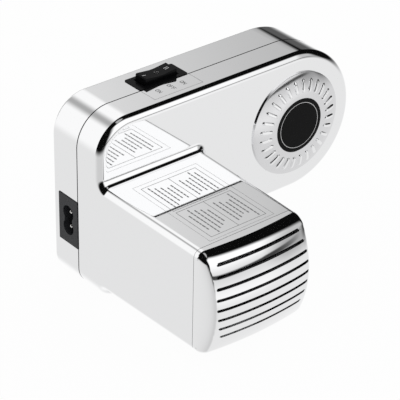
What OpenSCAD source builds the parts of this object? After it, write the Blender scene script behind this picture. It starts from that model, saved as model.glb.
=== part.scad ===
// Motor drive unit for a table-top pasta machine.
// X runs along the casing towards its round end, Y towards the machine it hangs on, Z up.
// The origin is where the output axis meets the casing's flat back face.
// Depth is measured from that face towards the grille, along -Y.

/* [Casing] */
// Radius of the casing's round end, which is half the height of the arm
end_r = 40.4; // [39:0.1:46]
// Height of the output axis over the surface that the casing stands on
base_drop = 61.9; // [58:0.1:75]
// Radius of the casing's top left corner
corner_top_r = 20; // [12:0.5:24]
// Radius of the two corners at the casing's base
corner_base_r = 12; // [8:0.5:14]
// Depth of the rear shell
rear_depth = 20.7; // [19.5:0.1:21.2]
// Depth of the front shell
front_depth = 18.7; // [17.5:0.1:24]
// Radius of the front shell's outer edge
edge_r = 4.2; // [2:0.1:5]
// Radius of the rear shell's outer edge
rear_edge_r = 1.5; // [0.8:0.1:2]
// Wall of the casing
wall = 2.4; // [1.8:0.1:2.8]

/* [Motor box] */
// Width of the motor box where it leaves the casing
box_w = 66; // [64:0.5:76]
// Height of the motor box where it leaves the casing
box_h = 60.6; // [59:0.2:66]
// Length of the motor box
box_len = 72.4; // [72:0.2:84]
// Radius of the motor box's long edges
box_corner_r = 4; // [3:0.5:6]
// Inward draft of the motor box's walls, per millimetre of length
box_draft = 0.015; // [0:0.001:0.02]
// Radius of the hollow fillet between the motor box and the casing
junction_r = 4; // [2:0.5:6]

/* [Grille cap] */
// Height of the cap's straight side before its round edge
cap_side = 2.2; // [2:0.1:3.5]
// How much further the straight side reaches at its middle than at its ends
cap_crown = 2.2; // [1:0.1:2.6]
// Radius of the cap's round edge at the top and bottom
cap_edge_r = 4.4; // [4:0.1:5]
// How far the cap's middle bulges beyond the motor box
cap_bulge = 18; // [16:0.5:20]
// Squareness of the bulge from side to side
cap_fullness_x = 4; // [3:0.1:5]
// Sharpness of the bulge from top to bottom
cap_fullness_z = 0.92; // [0.8:0.01:1.2]
// Number of air slots
slot_count = 8; // [5:1:8]
// Distance between air slots
slot_pitch = 5.65; // [5.4:0.05:5.8]
// Height of the middle of the air slots above the middle of the cap
slot_lift = 4.3; // [3.5:0.1:4.4]
// Height of an air slot
slot_h = 1.6; // [1.4:0.1:2]
// Length of the longest air slot
slot_len = 59; // [55:0.5:59.5]
// How far the cap's collar reaches into the motor box
cap_collar = 5; // [3:0.5:6]

/* [Badge] */
// Outer radius of the badge ring
badge_r = 29.7; // [24:0.1:33]
// Radius of the badge's flat disc
badge_disc_r = 15.5; // [12:0.1:18]
// Height of the badge over the casing
badge_h = 3.9; // [3:0.1:5]
// Height of the ring's outer rim
badge_rim_h = 0.9; // [0.6:0.1:1.4]
// Thickness of the disc
badge_disc_t = 1.2; // [0.8:0.1:1.6]

/* [Switch] */
// Length of the switch frame
switch_len = 31; // [29:0.1:34]
// Width of the switch frame
switch_w = 13.8; // [12.8:0.1:14.2]
// Distance from the output axis to the switch's middle
switch_offset = 74.4; // [72:0.1:80]
// Height of the switch's body under the casing's top
switch_drop = 14.5; // [12.5:0.1:15]
// How far the rocker tilts to each side, in degrees
rocker_tilt = 12; // [8:1:13]
// Radius of the rocker's pivot
rocker_pin_r = 1.2; // [1:0.1:1.5]

/* [Mains inlet] */
// Height of the inlet's face plate
inlet_h = 27.7; // [24:0.1:30]
// Width of the inlet's face plate
inlet_w = 15.8; // [13.5:0.1:16]
// Distance of the inlet's middle below the output axis
inlet_drop = 24.6; // [20:0.1:28]
// Depth of the inlet's body behind its face
inlet_depth = 15.5; // [15:0.1:18]
// Distance between the two inlet pins
pin_pitch = 8.6; // [8:0.1:9]
// Radius of an inlet pin
pin_r = 1.18; // [1:0.01:1.3]
// Radius of each round half of the figure-8 socket
socket_r = 4.3; // [4:0.1:4.6]
// Depth of the socket
socket_depth = 12.5; // [11:0.1:13]

/* [Gears] */
// Module of the first gear pair
module_1 = 0.8; // [0.76:0.01:0.84]
// Teeth of the motor pinion
teeth_motor = 12; // [12:1:13]
// Teeth of the first gear's wheel
teeth_1 = 60; // [56:1:62]
// Module of the second gear pair
module_2 = 1; // [0.98:0.01:1.04]
// Teeth of the first gear's pinion
pinion_1 = 14; // [13:1:15]
// Teeth of the second gear's wheel
teeth_2 = 54; // [52:1:56]
// Module of the output gear pair
module_3 = 1.25; // [1.2:0.01:1.28]
// Teeth of the second gear's pinion
pinion_2 = 14; // [13:1:15]
// Teeth of the output gear
teeth_out = 52; // [48:1:52]
// Direction from the motor to the first gear, in degrees
direction_1 = 35.5; // [31:0.1:38]
// Direction from the first gear to the second, in degrees
direction_2 = 16.3; // [14:0.1:20]
// Direction from the second gear to the output, in degrees
direction_3 = -4; // [-6:0.5:-2]
// Depth at which the output gear starts
gear_start = 7; // [6.8:0.1:7.4]
// Face width of the output gear
face_out = 8; // [7:0.1:8.2]
// Face width of the second gear's wheel
face_2 = 5.5; // [5:0.1:5.8]
// Face width of the first gear's wheel
face_1 = 5; // [4.6:0.1:5.2]
// Radius of the fixed gear axles
axle_r = 2.5; // [2:0.1:2.8]
// Thickness of the gear plate
plate_t = 3; // [2.5:0.1:3.2]

/* [Output] */
// Radius of the output shaft in its bushes
shaft_r = 5; // [4.8:0.1:5.4]
// Radius of the output shaft's free end
drive_r = 4.75; // [4:0.05:4.8]
// Length of the output shaft's free end, from the casing's back
drive_len = 26; // [22:0.5:28]
// Length of the two flats at the tip
flat_len = 7; // [4:0.5:8]
// Thickness across the two flats
flat_w = 6; // [5:0.1:7]
// Radius of the bayonet collar
collar_r = 17; // [15:0.1:19]
// How far the collar stands out of the casing's back
collar_out = 10; // [8:0.5:14]
// Width of a bayonet slot in the collar
slot_bayonet = 3.8; // [3:0.1:4]
// Depth of the bayonet slots
bayonet_depth = 2.5; // [1.5:0.1:3.5]
// Radius of the hub's flange inside the casing
flange_r = 28; // [27:0.5:30]
// Thickness of the hub's flange
flange_t = 3; // [2.5:0.1:3.2]
// Radius of the circle of the hub's screws
hub_screw_circle = 23; // [22.8:0.1:24]

/* [Motor] */
// Gap between the motor and the motor box's upper and lower walls
motor_gap = 3.9; // [3.7:0.1:5]
// Length of the stator
stator_len = 28; // [26:0.5:28]
// Depth of the stator's front face
stator_start = 58; // [57.6:0.1:58.6]
// Thickness of a field coil
coil_t = 2.2; // [1.8:0.1:2.6]
// Thickness of the stator's yoke
yoke_t = 5; // [4.6:0.1:5.2]
// Air gap between armature and stator
air_gap = 0.5; // [0.4:0.05:0.7]
// Slots of the armature
armature_slots = 12; // [10:1:14]
// Length of the armature winding's end turns
end_turns = 6.4; // [5:0.1:6.6]
// Radius of the motor shaft
motor_shaft_r = 3; // [2.8:0.1:3.2]
// Radius of the commutator
commutator_r = 8; // [7:0.1:8.4]
// Outer radius of a motor bearing
bearing_r = 9.5; // [9:0.1:10]
// Width of a motor bearing
bearing_w = 6; // [5:0.1:6.4]
// Gap between the cooling fan and the posts round it
fan_gap = 3; // [1:0.1:4]
// Blades of the cooling fan
fan_blades = 9; // [7:1:13]
// Side of a carbon brush
brush_w = 5; // [4.4:0.1:5.2]

/* [Safety plunger] */
// Distance of the plunger from the output axis, to the side
plunger_x = 45; // [44:0.1:46]
// Distance of the plunger below the output axis
plunger_drop = 31; // [30.5:0.1:31.4]
// Radius of the plunger's tip
plunger_r = 2.5; // [2:0.1:2.8]
// Travel of the plunger
plunger_travel = 2.5; // [2:0.1:3]
// How far the plunger's tip stands out of the casing's back
plunger_out = 3.2; // [3.1:0.1:4]
// Radius of the spring's wire
spring_wire_r = 0.35; // [0.25:0.01:0.4]

/* [Fasteners and feet] */
// Radius of the case screws
case_screw_r = 1.5; // [1.3:0.1:1.7]
// Radius of the bosses for the case screws
boss_r = 3.9; // [3.4:0.1:4]
// Radius of the long motor screws
motor_screw_r = 2; // [1.7:0.1:2]
// Radius of the small machine screws
small_screw_r = 1.3; // [1.1:0.1:1.5]
// Radius of a rubber foot
foot_r = 6; // [5:0.5:8]

/* [Fits] */
// Radial clearance of a turning shaft in its bearing
running_fit = 0.04; // [0.02:0.01:0.08]
// Clearance between pieces that are pushed together by hand
loose_fit = 0.15; // [0.1:0.01:0.25]
// Clearance between moving pieces that pass each other
free_gap = 0.5; // [0.4:0.05:0.6]
// Play between meshing gear teeth, at each flank
backlash = 0.08; // [0.06:0.01:0.12]

/* [Hidden] */
$fn = 96;
tiny = 0.01;
over = 1;
gear_angle = 25;
addendum = 0.85;
dedendum = 1.25;
flank_steps = 5;
centre_play = 0.08;

seam = rear_depth;
front = rear_depth + front_depth;
front_inner = front - wall;

// Centre distances and places of the gear train, as [x, z]
reach_1 = module_1 * (teeth_motor + teeth_1) / 2 + centre_play;
reach_2 = module_2 * (pinion_1 + teeth_2) / 2 + centre_play;
reach_3 = module_3 * (pinion_2 + teeth_out) / 2 + centre_play;
function towards(angle) = [cos(angle), sin(angle)];
gear_2_at = -reach_3 * towards(direction_3);
gear_1_at = gear_2_at - reach_2 * towards(direction_2);
motor_at = gear_1_at - reach_1 * towards(direction_1);

// Outer limits of the casing
left = motor_at.x - box_w / 2;
leg_right = motor_at.x + box_w / 2;

// Depths of the gear layers
gear_gap = 0.5;
out_end = gear_start + face_out;
mid_start = out_end + 2 * gear_gap;
mid_end = mid_start + face_2;
fast_start = mid_end + 2 * gear_gap;
fast_end = fast_start + face_1;
plate_start = fast_end + 2 * gear_gap;
plate_end = plate_start + plate_t;
axle_seat = wall + 2;

// Motor stack
stator_w = box_h - 2 * (wall + motor_gap);
bracket_t = 8;
bracket_end = plate_end + bracket_t;
stator_end = stator_start + stator_len;
bearing_1_start = plate_end + 1.5;
fan_start = bracket_end + 1.5;
fan_t = 7;
winding_start = stator_start - end_turns;
winding_end = stator_end + end_turns;
commutator_start = winding_end + 0.6;
commutator_len = 8;
brush_depth = commutator_start + commutator_len - brush_w / 2 - 0.3;
holder_wall = 1;
rear_bracket_start = brush_depth + brush_w / 2 + holder_wall;
rear_bracket_t = 6;
bearing_2_start = rear_bracket_start + 2;
bearing_2_end = bearing_2_start + bearing_w;
motor_shaft_end = bearing_2_end + 0.5;
pinion_bore_r = 2.4;
post_r = 3.1;
post_edge = 1;
post_at = stator_w / 2 - post_r - post_edge;
fan_r = post_at * sqrt(2) - post_r - fan_gap;

// Places of the fasteners, as [x, z]
inside = end_r - wall;
case_bosses = [
    [left + corner_top_r * 0.62, end_r - corner_top_r * 0.62],
    [left + wall + boss_r + 4.1, -base_drop + wall + boss_r + 2.1],
    [leg_right - wall - boss_r - 4.1, -base_drop + wall + boss_r + 2.1],
    [gear_2_at.x / 2 - 2.4, inside - boss_r - 0.6],
    [gear_2_at.x / 2 + 0.6, boss_r + 0.6 - inside]
];
plate_screw_side = 14;
plate_screw_top = 9;
plate_screw_left = 21;
plate_boss_r = 3.4;
plate_bosses = [
    [18, 20],
    [18, -20],
    [gear_2_at.x - plate_screw_side, inside - plate_screw_top],
    [left + plate_screw_left, inside - plate_screw_left],
    [motor_at.x, -base_drop + wall + plate_boss_r + 0.8]
];
bracket_screw_edge = 6;
bracket_screw_side = 11;
bracket_screw_third = 8;
bracket_screw_low = 5;
bracket_screws_at = [
    motor_at + [-1, 1] * stator_w / 2 + [bracket_screw_edge, -bracket_screw_side],
    motor_at + [-1, -1] * stator_w / 2 + [bracket_screw_edge, bracket_screw_side],
    motor_at + [1, -1] * stator_w / 2 + [-bracket_screw_third, bracket_screw_low]
];
plunger_at = [-plunger_x, -plunger_drop];
head_r = 1.9;
head_t = 1.6;

// Switch and inlet
switch_at = -switch_offset;
switch_rim = 0.4;
switch_depth = seam - switch_w / 2;
rocker_len = switch_len - 10.8;
rocker_w = switch_w - 5.4;
rocker_pivot = end_r + switch_rim - 2.2;
switch_body_len = switch_len - 3.6;
switch_body_w = switch_w - 2;
inlet_at = -inlet_drop;
inlet_mid = seam - inlet_w / 2;
inlet_proud = 0.4;
inlet_body_h = inlet_h - 4;
inlet_body_w = inlet_w - 3;

// Feet
feet_inset = 16.4;
feet_depth = front + box_len - feet_inset;
feet_spread = box_w / 4 - 5;
foot_stud_r = 2;

// --- placing -------------------------------------------------------------

// Draws in the X-Z plane and rises towards the grille from the given depth
module facing(depth) {
    translate([0, -depth, 0]) rotate([90, 0, 0]) children();
}

// Draws in the X-Z plane and rises towards the back from the given depth
module backing(depth) {
    translate([0, -depth, 0]) mirror([0, 1, 0]) rotate([90, 0, 0]) children();
}

// Round bar along the depth, between two depths
module bar(at, from, to, r) {
    facing(from) translate(at) cylinder(h = to - from, r = r);
}

// Round tube along the depth
module tube(at, from, to, r, bore) {
    difference() {
        bar(at, from, to, r);
        bar(at, from - over, to + over, bore);
    }
}

// Rectangle with round corners, centred
module round_rect(w, h, r) {
    union() {
        square([w - 2 * r, h], center = true);
        square([w, h - 2 * r], center = true);
        for (sx = [-1, 1], sz = [-1, 1])
            translate([sx * (w / 2 - r), sz * (h / 2 - r)]) circle(r = r);
    }
}

// --- casing outline ------------------------------------------------------

// The casing's outline, drawn in by the given inset
module casing(inset) {
    union() {
        circle(r = end_r - inset);
        translate([left + corner_top_r, inset - end_r])
            square([-left - corner_top_r, 2 * (end_r - inset)]);
        translate([left + inset, corner_base_r - base_drop])
            square([box_w - 2 * inset, base_drop - corner_base_r + end_r - corner_top_r]);
        translate([left + corner_base_r, inset - base_drop])
            square([box_w - 2 * corner_base_r, base_drop]);
        translate([left + corner_top_r, end_r - corner_top_r]) circle(r = corner_top_r - inset);
        for (x = [left + corner_base_r, leg_right - corner_base_r])
            translate([x, corner_base_r - base_drop]) circle(r = corner_base_r - inset);
    }
}

// Half profile of a disc with one rounded rim
module rim_profile(r, depth, edge) {
    union() {
        square([r - edge, depth]);
        square([r, depth - edge]);
        translate([r - edge, depth - edge]) circle(r = edge);
    }
}

module rim_disc(at, r, depth, edge) {
    translate(at) rotate_extrude() intersection() {
        rim_profile(r, depth, edge);
        square([r, depth]);
    }
}

// Profile of a bar with two rounded edges at its far side
module rounded_profile(w, depth, edge) {
    union() {
        square([w, depth - edge]);
        translate([edge, 0]) square([w - 2 * edge, depth]);
        for (x = [edge, w - edge]) translate([x, depth - edge]) circle(r = edge);
    }
}

// The casing as a slab whose far edge is rounded
module casing_slab(depth, edge) {
    union() {
        linear_extrude(height = depth) casing(edge);
        linear_extrude(height = depth - edge) casing(0);
        rim_disc([0, 0], end_r, depth, edge);
        rim_disc([left + corner_top_r, end_r - corner_top_r], corner_top_r, depth, edge);
        rim_disc([left + corner_base_r, corner_base_r - base_drop], corner_base_r, depth, edge);
        rim_disc([leg_right - corner_base_r, corner_base_r - base_drop], corner_base_r, depth, edge);
        translate([left + corner_top_r, -end_r, 0]) rotate([90, 0, 90])
            linear_extrude(height = -left - corner_top_r) rounded_profile(2 * end_r, depth, edge);
        translate([left + corner_base_r, -base_drop, 0]) rotate([90, 0, 90])
            linear_extrude(height = box_w - 2 * corner_base_r) rounded_profile(base_drop, depth, edge);
        translate([left, end_r - corner_top_r, 0]) rotate([90, 0, 0])
            linear_extrude(height = base_drop - corner_base_r + end_r - corner_top_r)
                rounded_profile(box_w, depth, edge);
    }
}

// --- motor box -----------------------------------------------------------

// Width and height of the motor box at a distance from the casing, less an inset on each side
function box_at(dist, inset) = [
    box_w - 2 * (box_draft * dist + inset),
    box_h - 2 * (box_draft * dist + inset)
];

// Tapered block of the motor box, between two distances from the casing's front
module box_block(from, to, inset, r) {
    size_from = box_at(from, inset);
    size_to = box_at(to, inset);
    facing(front + from) translate(motor_at)
        linear_extrude(height = to - from, slices = 1,
            scale = [size_to.x / size_from.x, size_to.y / size_from.y])
            round_rect(size_from.x, size_from.y, r, $fn = 32);
}

// Hollow fillets between the motor box and the casing: above, below and at the right
module junction_strip(length) {
    linear_extrude(height = length) difference() {
        translate([-tiny - over, -tiny - over]) square([junction_r + over, junction_r + over]);
        translate([junction_r, junction_r]) circle(r = junction_r);
    }
}

module junction() {
    top = motor_at.y + box_h / 2;
    bottom = motor_at.y - box_h / 2;
    run = box_w - 2 * box_corner_r;
    translate([left + box_corner_r, -front, top]) rotate([90, 0, 90]) mirror([1, 0, 0])
        junction_strip(run);
    translate([left + box_corner_r, -front, bottom]) rotate([90, 0, 90]) mirror([1, 0, 0])
        mirror([0, 1, 0]) junction_strip(run);
    translate([leg_right, -front, bottom + box_corner_r]) mirror([0, 1, 0])
        junction_strip(box_h - 2 * box_corner_r);
}

// --- shells --------------------------------------------------------------

module front_shell() {
    color("gainsboro") difference() {
        union() {
            difference() {
                union() {
                    facing(seam) casing_slab(front_depth, edge_r);
                    facing(front - edge_r) translate(motor_at) linear_extrude(height = edge_r)
                        round_rect(box_w, box_h, box_corner_r);
                    box_block(0, box_len, 0, box_corner_r);
                    junction();
                }
                facing(seam - over) linear_extrude(height = front_inner - seam + over) casing(wall);
                box_block(-wall - over, box_len + over, wall, box_corner_r - wall + over);
            }
            for (at = case_bosses) bar(at, seam, front_inner + tiny, boss_r);
            for (at = plate_bosses) bar(at, plate_end, front_inner + tiny, plate_boss_r);
        }
        for (at = case_bosses) bar(at, seam - over, front_inner - over, case_screw_r - loose_fit);
        for (at = plate_bosses) bar(at, plate_end - over, front_inner, small_screw_r - loose_fit);
        for (x = badge_studs) bar([x, 0], front_inner - over, front + over, badge_stud_r + loose_fit);
        for (x = [-feet_spread, feet_spread])
            translate([motor_at.x + x, -feet_depth, motor_at.y - box_h / 2 - over])
                cylinder(h = wall + box_h / 8, r = foot_stud_r + loose_fit);
    }
}

module rear_shell() {
    color("gainsboro") difference() {
        union() {
            difference() {
                backing(seam) casing_slab(rear_depth, rear_edge_r);
                facing(wall) linear_extrude(height = rear_depth) casing(wall);
            }
            for (at = case_bosses) bar(at, wall - tiny, seam, boss_r);
            bar(gear_1_at, wall - tiny, mid_start - gear_gap, axle_r + 2);
            bar(gear_2_at, wall - tiny, gear_start - gear_gap, axle_r + 2);
            bar(plunger_at, wall - tiny, plunger_chamber, plunger_boss_r);
        }
        for (at = case_bosses) {
            bar(at, -over, seam + over, case_screw_r + loose_fit);
            bar(at, -over, case_head_depth, case_head_r + loose_fit);
        }
        bar(gear_1_at, wall / 2, seam, axle_r);
        bar(gear_2_at, wall / 2, seam, axle_r);
        bar([0, 0], -over, wall + over, collar_r + loose_fit);
        for (a = hub_screw_angles) {
            bar(hub_screw_circle * towards(a), -over, wall + over, small_screw_r + loose_fit);
            bar(hub_screw_circle * towards(a), -over, head_t, head_r + loose_fit);
        }
        bar(plunger_at, -over, wall + over, plunger_r + running_fit);
        bar(plunger_at, wall, seam, chamber_r);
        translate([switch_at - switch_body_len / 2 - loose_fit, -seam - over,
            end_r - wall - over])
            cube([switch_body_len + 2 * loose_fit,
                over + switch_depth_span, wall + 2 * over]);
        translate([left - over, -seam - over, inlet_at - inlet_h / 2 - loose_fit])
            cube([wall + 2 * over, inlet_w + loose_fit + over, inlet_h + 2 * loose_fit]);
    }
}

// How far the switch's body and cut-out reach back from the seam
switch_depth_span = seam - switch_depth + switch_body_w / 2 + loose_fit;

// --- grille cap ----------------------------------------------------------

// Outline of the cap as points: a rectangle with round corners
cap_side_steps = 7;
function corner_sign(c) = [c == 0 || c == 3 ? 1 : -1, c < 2 ? 1 : -1];
function corner_mid(c, half, r) =
    let (s = corner_sign(c % 4)) [s.x * (half.x - r), s.y * (half.y - r)];
function cap_outline(half, r) = [for (c = [0:3])
    let (
        end = r * towards(90 * c + 90),
        p = corner_mid(c, half, r) + end,
        q = corner_mid(c + 1, half, r) + end
    )
    each concat(
        [for (a = [0, 45, 90]) corner_mid(c, half, r) + r * towards(90 * c + a)],
        [for (k = [1:cap_side_steps - 1]) p + (q - p) * k / cap_side_steps]
    )];

// Height of a bulged skin that rises straight to its side, turns over and swells to its middle
function cap_height(p, half, side, bulge) =
    let (
        u = max(0, 1 - (half.x - abs(p.x)) / cap_end_r),
        v = max(0, 1 - (half.y - abs(p.y)) / cap_edge_r),
        crown = cap_crown * (1 - pow(min(1, abs(p.x) / half.x), 1.7)),
        swell = cap_edge_r + (bulge - side - cap_crown - cap_edge_r)
            * pow(max(0, 1 - pow(p.y / half.y, 2)), cap_fullness_z)
    )
    side + crown + swell * sqrt(max(0, 1 - u * u - v * v))
        * pow(max(0, 1 - pow(abs(p.x) / half.x, cap_fullness_x)), cap_end_power);

// One ring of points of such a skin, at a share t of the way to its outline
function cap_ring(half, r, side, bulge, t) = [for (p = cap_outline(half, r))
    [t * p.x, t * p.y, cap_height(t * p, half, side, bulge)]];
function flat_ring(half, r, z) = [for (p = cap_outline(half, r)) [p.x, p.y, z]];

// The cap without its slots: one closed skin from the outside over the collar to the inside
module cap_skin() {
    outer = box_at(box_len, 0) / 2;
    collar = outer - [1, 1] * (wall + loose_fit);
    inner = outer - [2, 2] * wall;
    inner_r = box_corner_r / 2;
    rings = concat(
        [for (t = cap_rings) cap_ring(outer, box_corner_r, cap_side, cap_bulge, t)],
        [flat_ring(outer, box_corner_r, 0), flat_ring(collar, inner_r, 0),
            flat_ring(collar, inner_r, -cap_collar), flat_ring(inner, inner_r, -cap_collar)],
        [for (t = cap_inner_rings) cap_ring(inner, inner_r, 0, cap_bulge - 2 * wall, t)]
    );
    n = len(rings[0]);
    last = len(rings) - 1;
    polyhedron(
        points = concat([for (ring = rings) each ring],
            [[0, 0, cap_bulge], [0, 0, cap_bulge - 2 * wall]]),
        faces = concat(
            [for (i = [0:last - 1], j = [0:n - 1]) let (k = (j + 1) % n)
                [i * n + j, i * n + k, (i + 1) * n + k]],
            [for (i = [0:last - 1], j = [0:n - 1]) let (k = (j + 1) % n)
                [i * n + j, (i + 1) * n + k, (i + 1) * n + j]],
            [for (j = [0:n - 1]) [(last + 1) * n, (j + 1) % n, j]],
            [for (j = [0:n - 1]) [last * n + j, last * n + (j + 1) % n, (last + 1) * n + 1]]
        )
    );
}

cap_rings = [0.3, 0.56, 0.75, 0.86, 0.91, 0.95, 0.98, 1];
cap_inner_rings = [1, 0.93, 0.8, 0.45];
cap_end_r = cap_edge_r / 2;
cap_end_power = 0.06;

module grille_cap() {
    reach = box_at(box_len, 0).y * 0.72;
    color("gainsboro") facing(front + box_len) translate(motor_at) difference() {
        cap_skin();
        for (k = [0:slot_count - 1]) {
            z = (k - (slot_count - 1) / 2) * slot_pitch;
            length = slot_len * sqrt(1 - pow(z / reach, 2));
            translate([0, z + slot_lift, cap_side / 2]) linear_extrude(height = cap_bulge)
                round_rect(length, slot_h, slot_h / 2 - tiny);
        }
    }
}

// --- badge ---------------------------------------------------------------

badge_stud_r = 1.5;
badge_studs = [-22, 22];

module badge_ring() {
    dome = [for (k = [0:8]) let (s = k / 8)
        [badge_r - (badge_r - badge_disc_r) * s,
            badge_rim_h + (badge_h - badge_rim_h) * pow(sin(90 * s), 0.9)]];
    color("gainsboro") facing(front) {
        difference() {
            rotate_extrude()
                polygon(concat([[0, 0], [badge_r, 0]], dome, [[0, badge_h]]));
            translate([0, 0, badge_h - badge_disc_t]) cylinder(h = over + badge_disc_t, r = badge_disc_r);
        }
        for (x = badge_studs) translate([x, 0, -wall]) cylinder(h = wall + tiny, r = badge_stud_r);
    }
}

module badge_disc() {
    color("black") bar([0, 0], front + badge_h - badge_disc_t, front + badge_h, badge_disc_r);
}

// --- switch --------------------------------------------------------------

rocker_half = rocker_len / 2;
well_half = rocker_half + 1.3;

module switch_frame() {
    color("black") translate([switch_at, -switch_depth, 0]) difference() {
        union() {
            translate([0, 0, end_r]) linear_extrude(height = switch_rim)
                round_rect(switch_len, switch_w - 2 * tiny, 1);
            translate([-switch_body_len / 2, -switch_body_w / 2, end_r - switch_drop])
                cube([switch_body_len, switch_body_w, switch_drop + tiny]);
        }
        translate([-well_half, -rocker_w / 2 - 0.35, rocker_pivot - 6.5])
            cube([2 * well_half, rocker_w + 0.7, end_r]);
        translate([0, 0, rocker_pivot]) rotate([90, 0, 0])
            cylinder(h = rocker_w + 1.5, r = rocker_pin_r + running_fit, center = true);
    }
}

module switch_rocker() {
    half = rocker_half;
    side = [[-half, -2.6], [-half, 5.1], [0.5 - half, 5.6], [-1.5, 4.7], [1.5, 4.7],
        [half - 0.5, 5.6], [half, 5.1], [half, -2.6],
        [half / 3, -3.8], [-half / 3, -3.8]];
    color("dimgray") translate([switch_at, -switch_depth, rocker_pivot]) rotate([90, 0, 0]) {
        translate([0, 0, -rocker_w / 2]) linear_extrude(height = rocker_w) polygon(side);
        cylinder(h = rocker_w + 1.3, r = rocker_pin_r, center = true);
    }
}

tab_len = 7;
module switch_terminals() {
    color("goldenrod") for (k = [-1, 0, 1])
        translate([switch_at + k * 6 - 2.4, -switch_depth - 0.4, end_r - switch_drop - tab_len])
            cube([4.8, 0.8, tab_len]);
}

// --- mains inlet ---------------------------------------------------------

module socket_outline() {
    union() {
        for (s = [-1, 1]) translate([s * pin_pitch / 2, 0]) circle(r = socket_r);
        square([pin_pitch, socket_r * 1.5], center = true);
    }
}

module inlet_body() {
    color("black") translate([left, -inlet_mid, inlet_at]) difference() {
        union() {
            translate([-inlet_proud, -inlet_w / 2 + tiny, -inlet_h / 2])
                cube([wall + inlet_proud, inlet_w - tiny, inlet_h]);
            translate([0, -inlet_body_w / 2, -inlet_body_h / 2])
                cube([inlet_depth, inlet_body_w, inlet_body_h]);
        }
        translate([-inlet_proud - over, 0, 0]) rotate([90, 90, 90])
            linear_extrude(height = socket_depth + inlet_proud + over) socket_outline();
        for (s = [-1, 1]) translate([0, 0, s * pin_pitch / 2]) rotate([0, 90, 0])
            cylinder(h = inlet_depth + over, r = pin_r);
    }
}

module inlet_pins() {
    color("silver") for (s = [-1, 1])
        translate([left + 2.5, -inlet_mid, inlet_at + s * pin_pitch / 2]) rotate([0, 90, 0])
            cylinder(h = inlet_depth - 2.5, r = pin_r);
}

module inlet_terminals() {
    color("goldenrod") for (s = [-1, 1])
        translate([left + inlet_depth, -inlet_mid - 2.4, inlet_at + s * pin_pitch / 2 - 0.4])
            cube([tab_len, 4.8, 0.8]);
}

// --- gears ---------------------------------------------------------------

// Involute polar angle at radius r over base radius b, in degrees
function involute(r, b) = sqrt(pow(max(r, b) / b, 2) - 1) * 180 / PI - acos(b / max(r, b));

// Outline of a spur gear whose first tooth points along the first axis
function gear_outline(m, teeth) =
    let (
        pitch = m * teeth / 2,
        b = pitch * cos(gear_angle),
        tip = pitch + addendum * m,
        root = pitch - dedendum * m,
        half = 90 / teeth - backlash / pitch * 180 / PI + involute(pitch, b),
        low = max(root, b)
    )
    [for (k = [0:teeth - 1], side = [-1, 1], s = [0:flank_steps])
        let (
            i = side < 0 ? s : flank_steps - s,
            r = i == 0 ? root : low + (tip - low) * (i - 1) / (flank_steps - 1),
            a = 360 * k / teeth + side * (half - involute(r, b))
        )
        r * towards(a)];

// A spur gear along the depth, turned so that its first tooth points at the given angle
module spur(at, from, to, m, teeth, angle) {
    facing(from) translate(at) rotate([0, 0, angle]) linear_extrude(height = to - from)
        polygon(gear_outline(m, teeth));
}

// Radius under the teeth
function root_r(m, teeth) = m * teeth / 2 - dedendum * m;

// A gear wheel with a rim, a thin web, a hub and round holes in the web
module wheel(at, from, to, m, teeth, angle, hub_r) {
    rim = root_r(m, teeth) - 2.5;
    recess = (to - from) * 0.25;
    hole_r = (rim - hub_r) * 0.3;
    difference() {
        spur(at, from, to, m, teeth, angle);
        for (face = [[from - over, from + recess], [to - recess, to + over]]) difference() {
            bar(at, face[0], face[1], rim);
            bar(at, face[0] - over, face[1] + over, hub_r);
        }
        for (k = [0:5])
            bar(at + (rim + hub_r) / 2 * towards(60 * k), from - over, to + over, hole_r);
    }
}

module motor_pinion() {
    color("goldenrod") difference() {
        spur(motor_at, fast_start, fast_end, module_1, teeth_motor, direction_1);
        bar(motor_at, fast_start - over, fast_end + over, pinion_bore_r);
    }
}

hub_1_r = axle_r + 2.2;

module first_gear() {
    color("ivory") difference() {
        union() {
            wheel(gear_1_at, fast_start, fast_end, module_1, teeth_1,
                direction_1 + 180 + 180 / teeth_1, hub_1_r + 3);
            spur(gear_1_at, mid_start, fast_start + tiny, module_2, pinion_1, direction_2);
            bar(gear_1_at, fast_end - tiny, plate_start - 0.3, hub_1_r);
        }
        bar(gear_1_at, gear_start, plate_start, axle_r + running_fit);
    }
}

module second_gear() {
    color("silver") difference() {
        union() {
            wheel(gear_2_at, mid_start, mid_end, module_2, teeth_2,
                direction_2 + 180 + 180 / teeth_2, hub_1_r + 5);
            spur(gear_2_at, gear_start, mid_start + tiny, module_3, pinion_2, direction_3);
            bar(gear_2_at, mid_end - tiny, plate_start - 0.3, hub_1_r);
        }
        bar(gear_2_at, gear_start - over, plate_start, axle_r + running_fit);
    }
}

module output_gear() {
    color("silver") difference() {
        union() {
            wheel([0, 0], gear_start, out_end, module_3, teeth_out,
                direction_3 + 180 + 180 / teeth_out, shaft_r + 7);
            bar([0, 0], out_end - tiny, out_end + 5, shaft_r + 4);
        }
        bar([0, 0], gear_start - over, out_end + 6, shaft_r);
    }
}

module gear_axles() {
    color("silver") for (at = [gear_1_at, gear_2_at]) bar(at, wall / 2, plate_end, axle_r);
}

// --- output --------------------------------------------------------------

bush_wall = 3;
bush_start = -collar_out;
hub_back = wall + flange_t;
front_bush_flange = 1.5;
ring_depth = plate_start - front_bush_flange - 1.4;
ring_t = 1.1;

module output_shaft() {
    color("silver") difference() {
        union() {
            bar([0, 0], 0, plate_end + 1.5, shaft_r);
            bar([0, 0], -drive_len, 0, drive_r);
            bar([0, 0], bush_start, tiny, shaft_r);
        }
        for (s = [-1, 1])
            translate([-shaft_r, drive_len - flat_len, s > 0 ? flat_w / 2 : -flat_w / 2 - shaft_r])
                cube([2 * shaft_r, flat_len + over, shaft_r]);
        difference() {
            bar([0, 0], ring_depth, ring_depth + ring_t, shaft_r + over);
            bar([0, 0], ring_depth - over, ring_depth + ring_t + over, shaft_r - 0.5);
        }
    }
}

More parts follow.
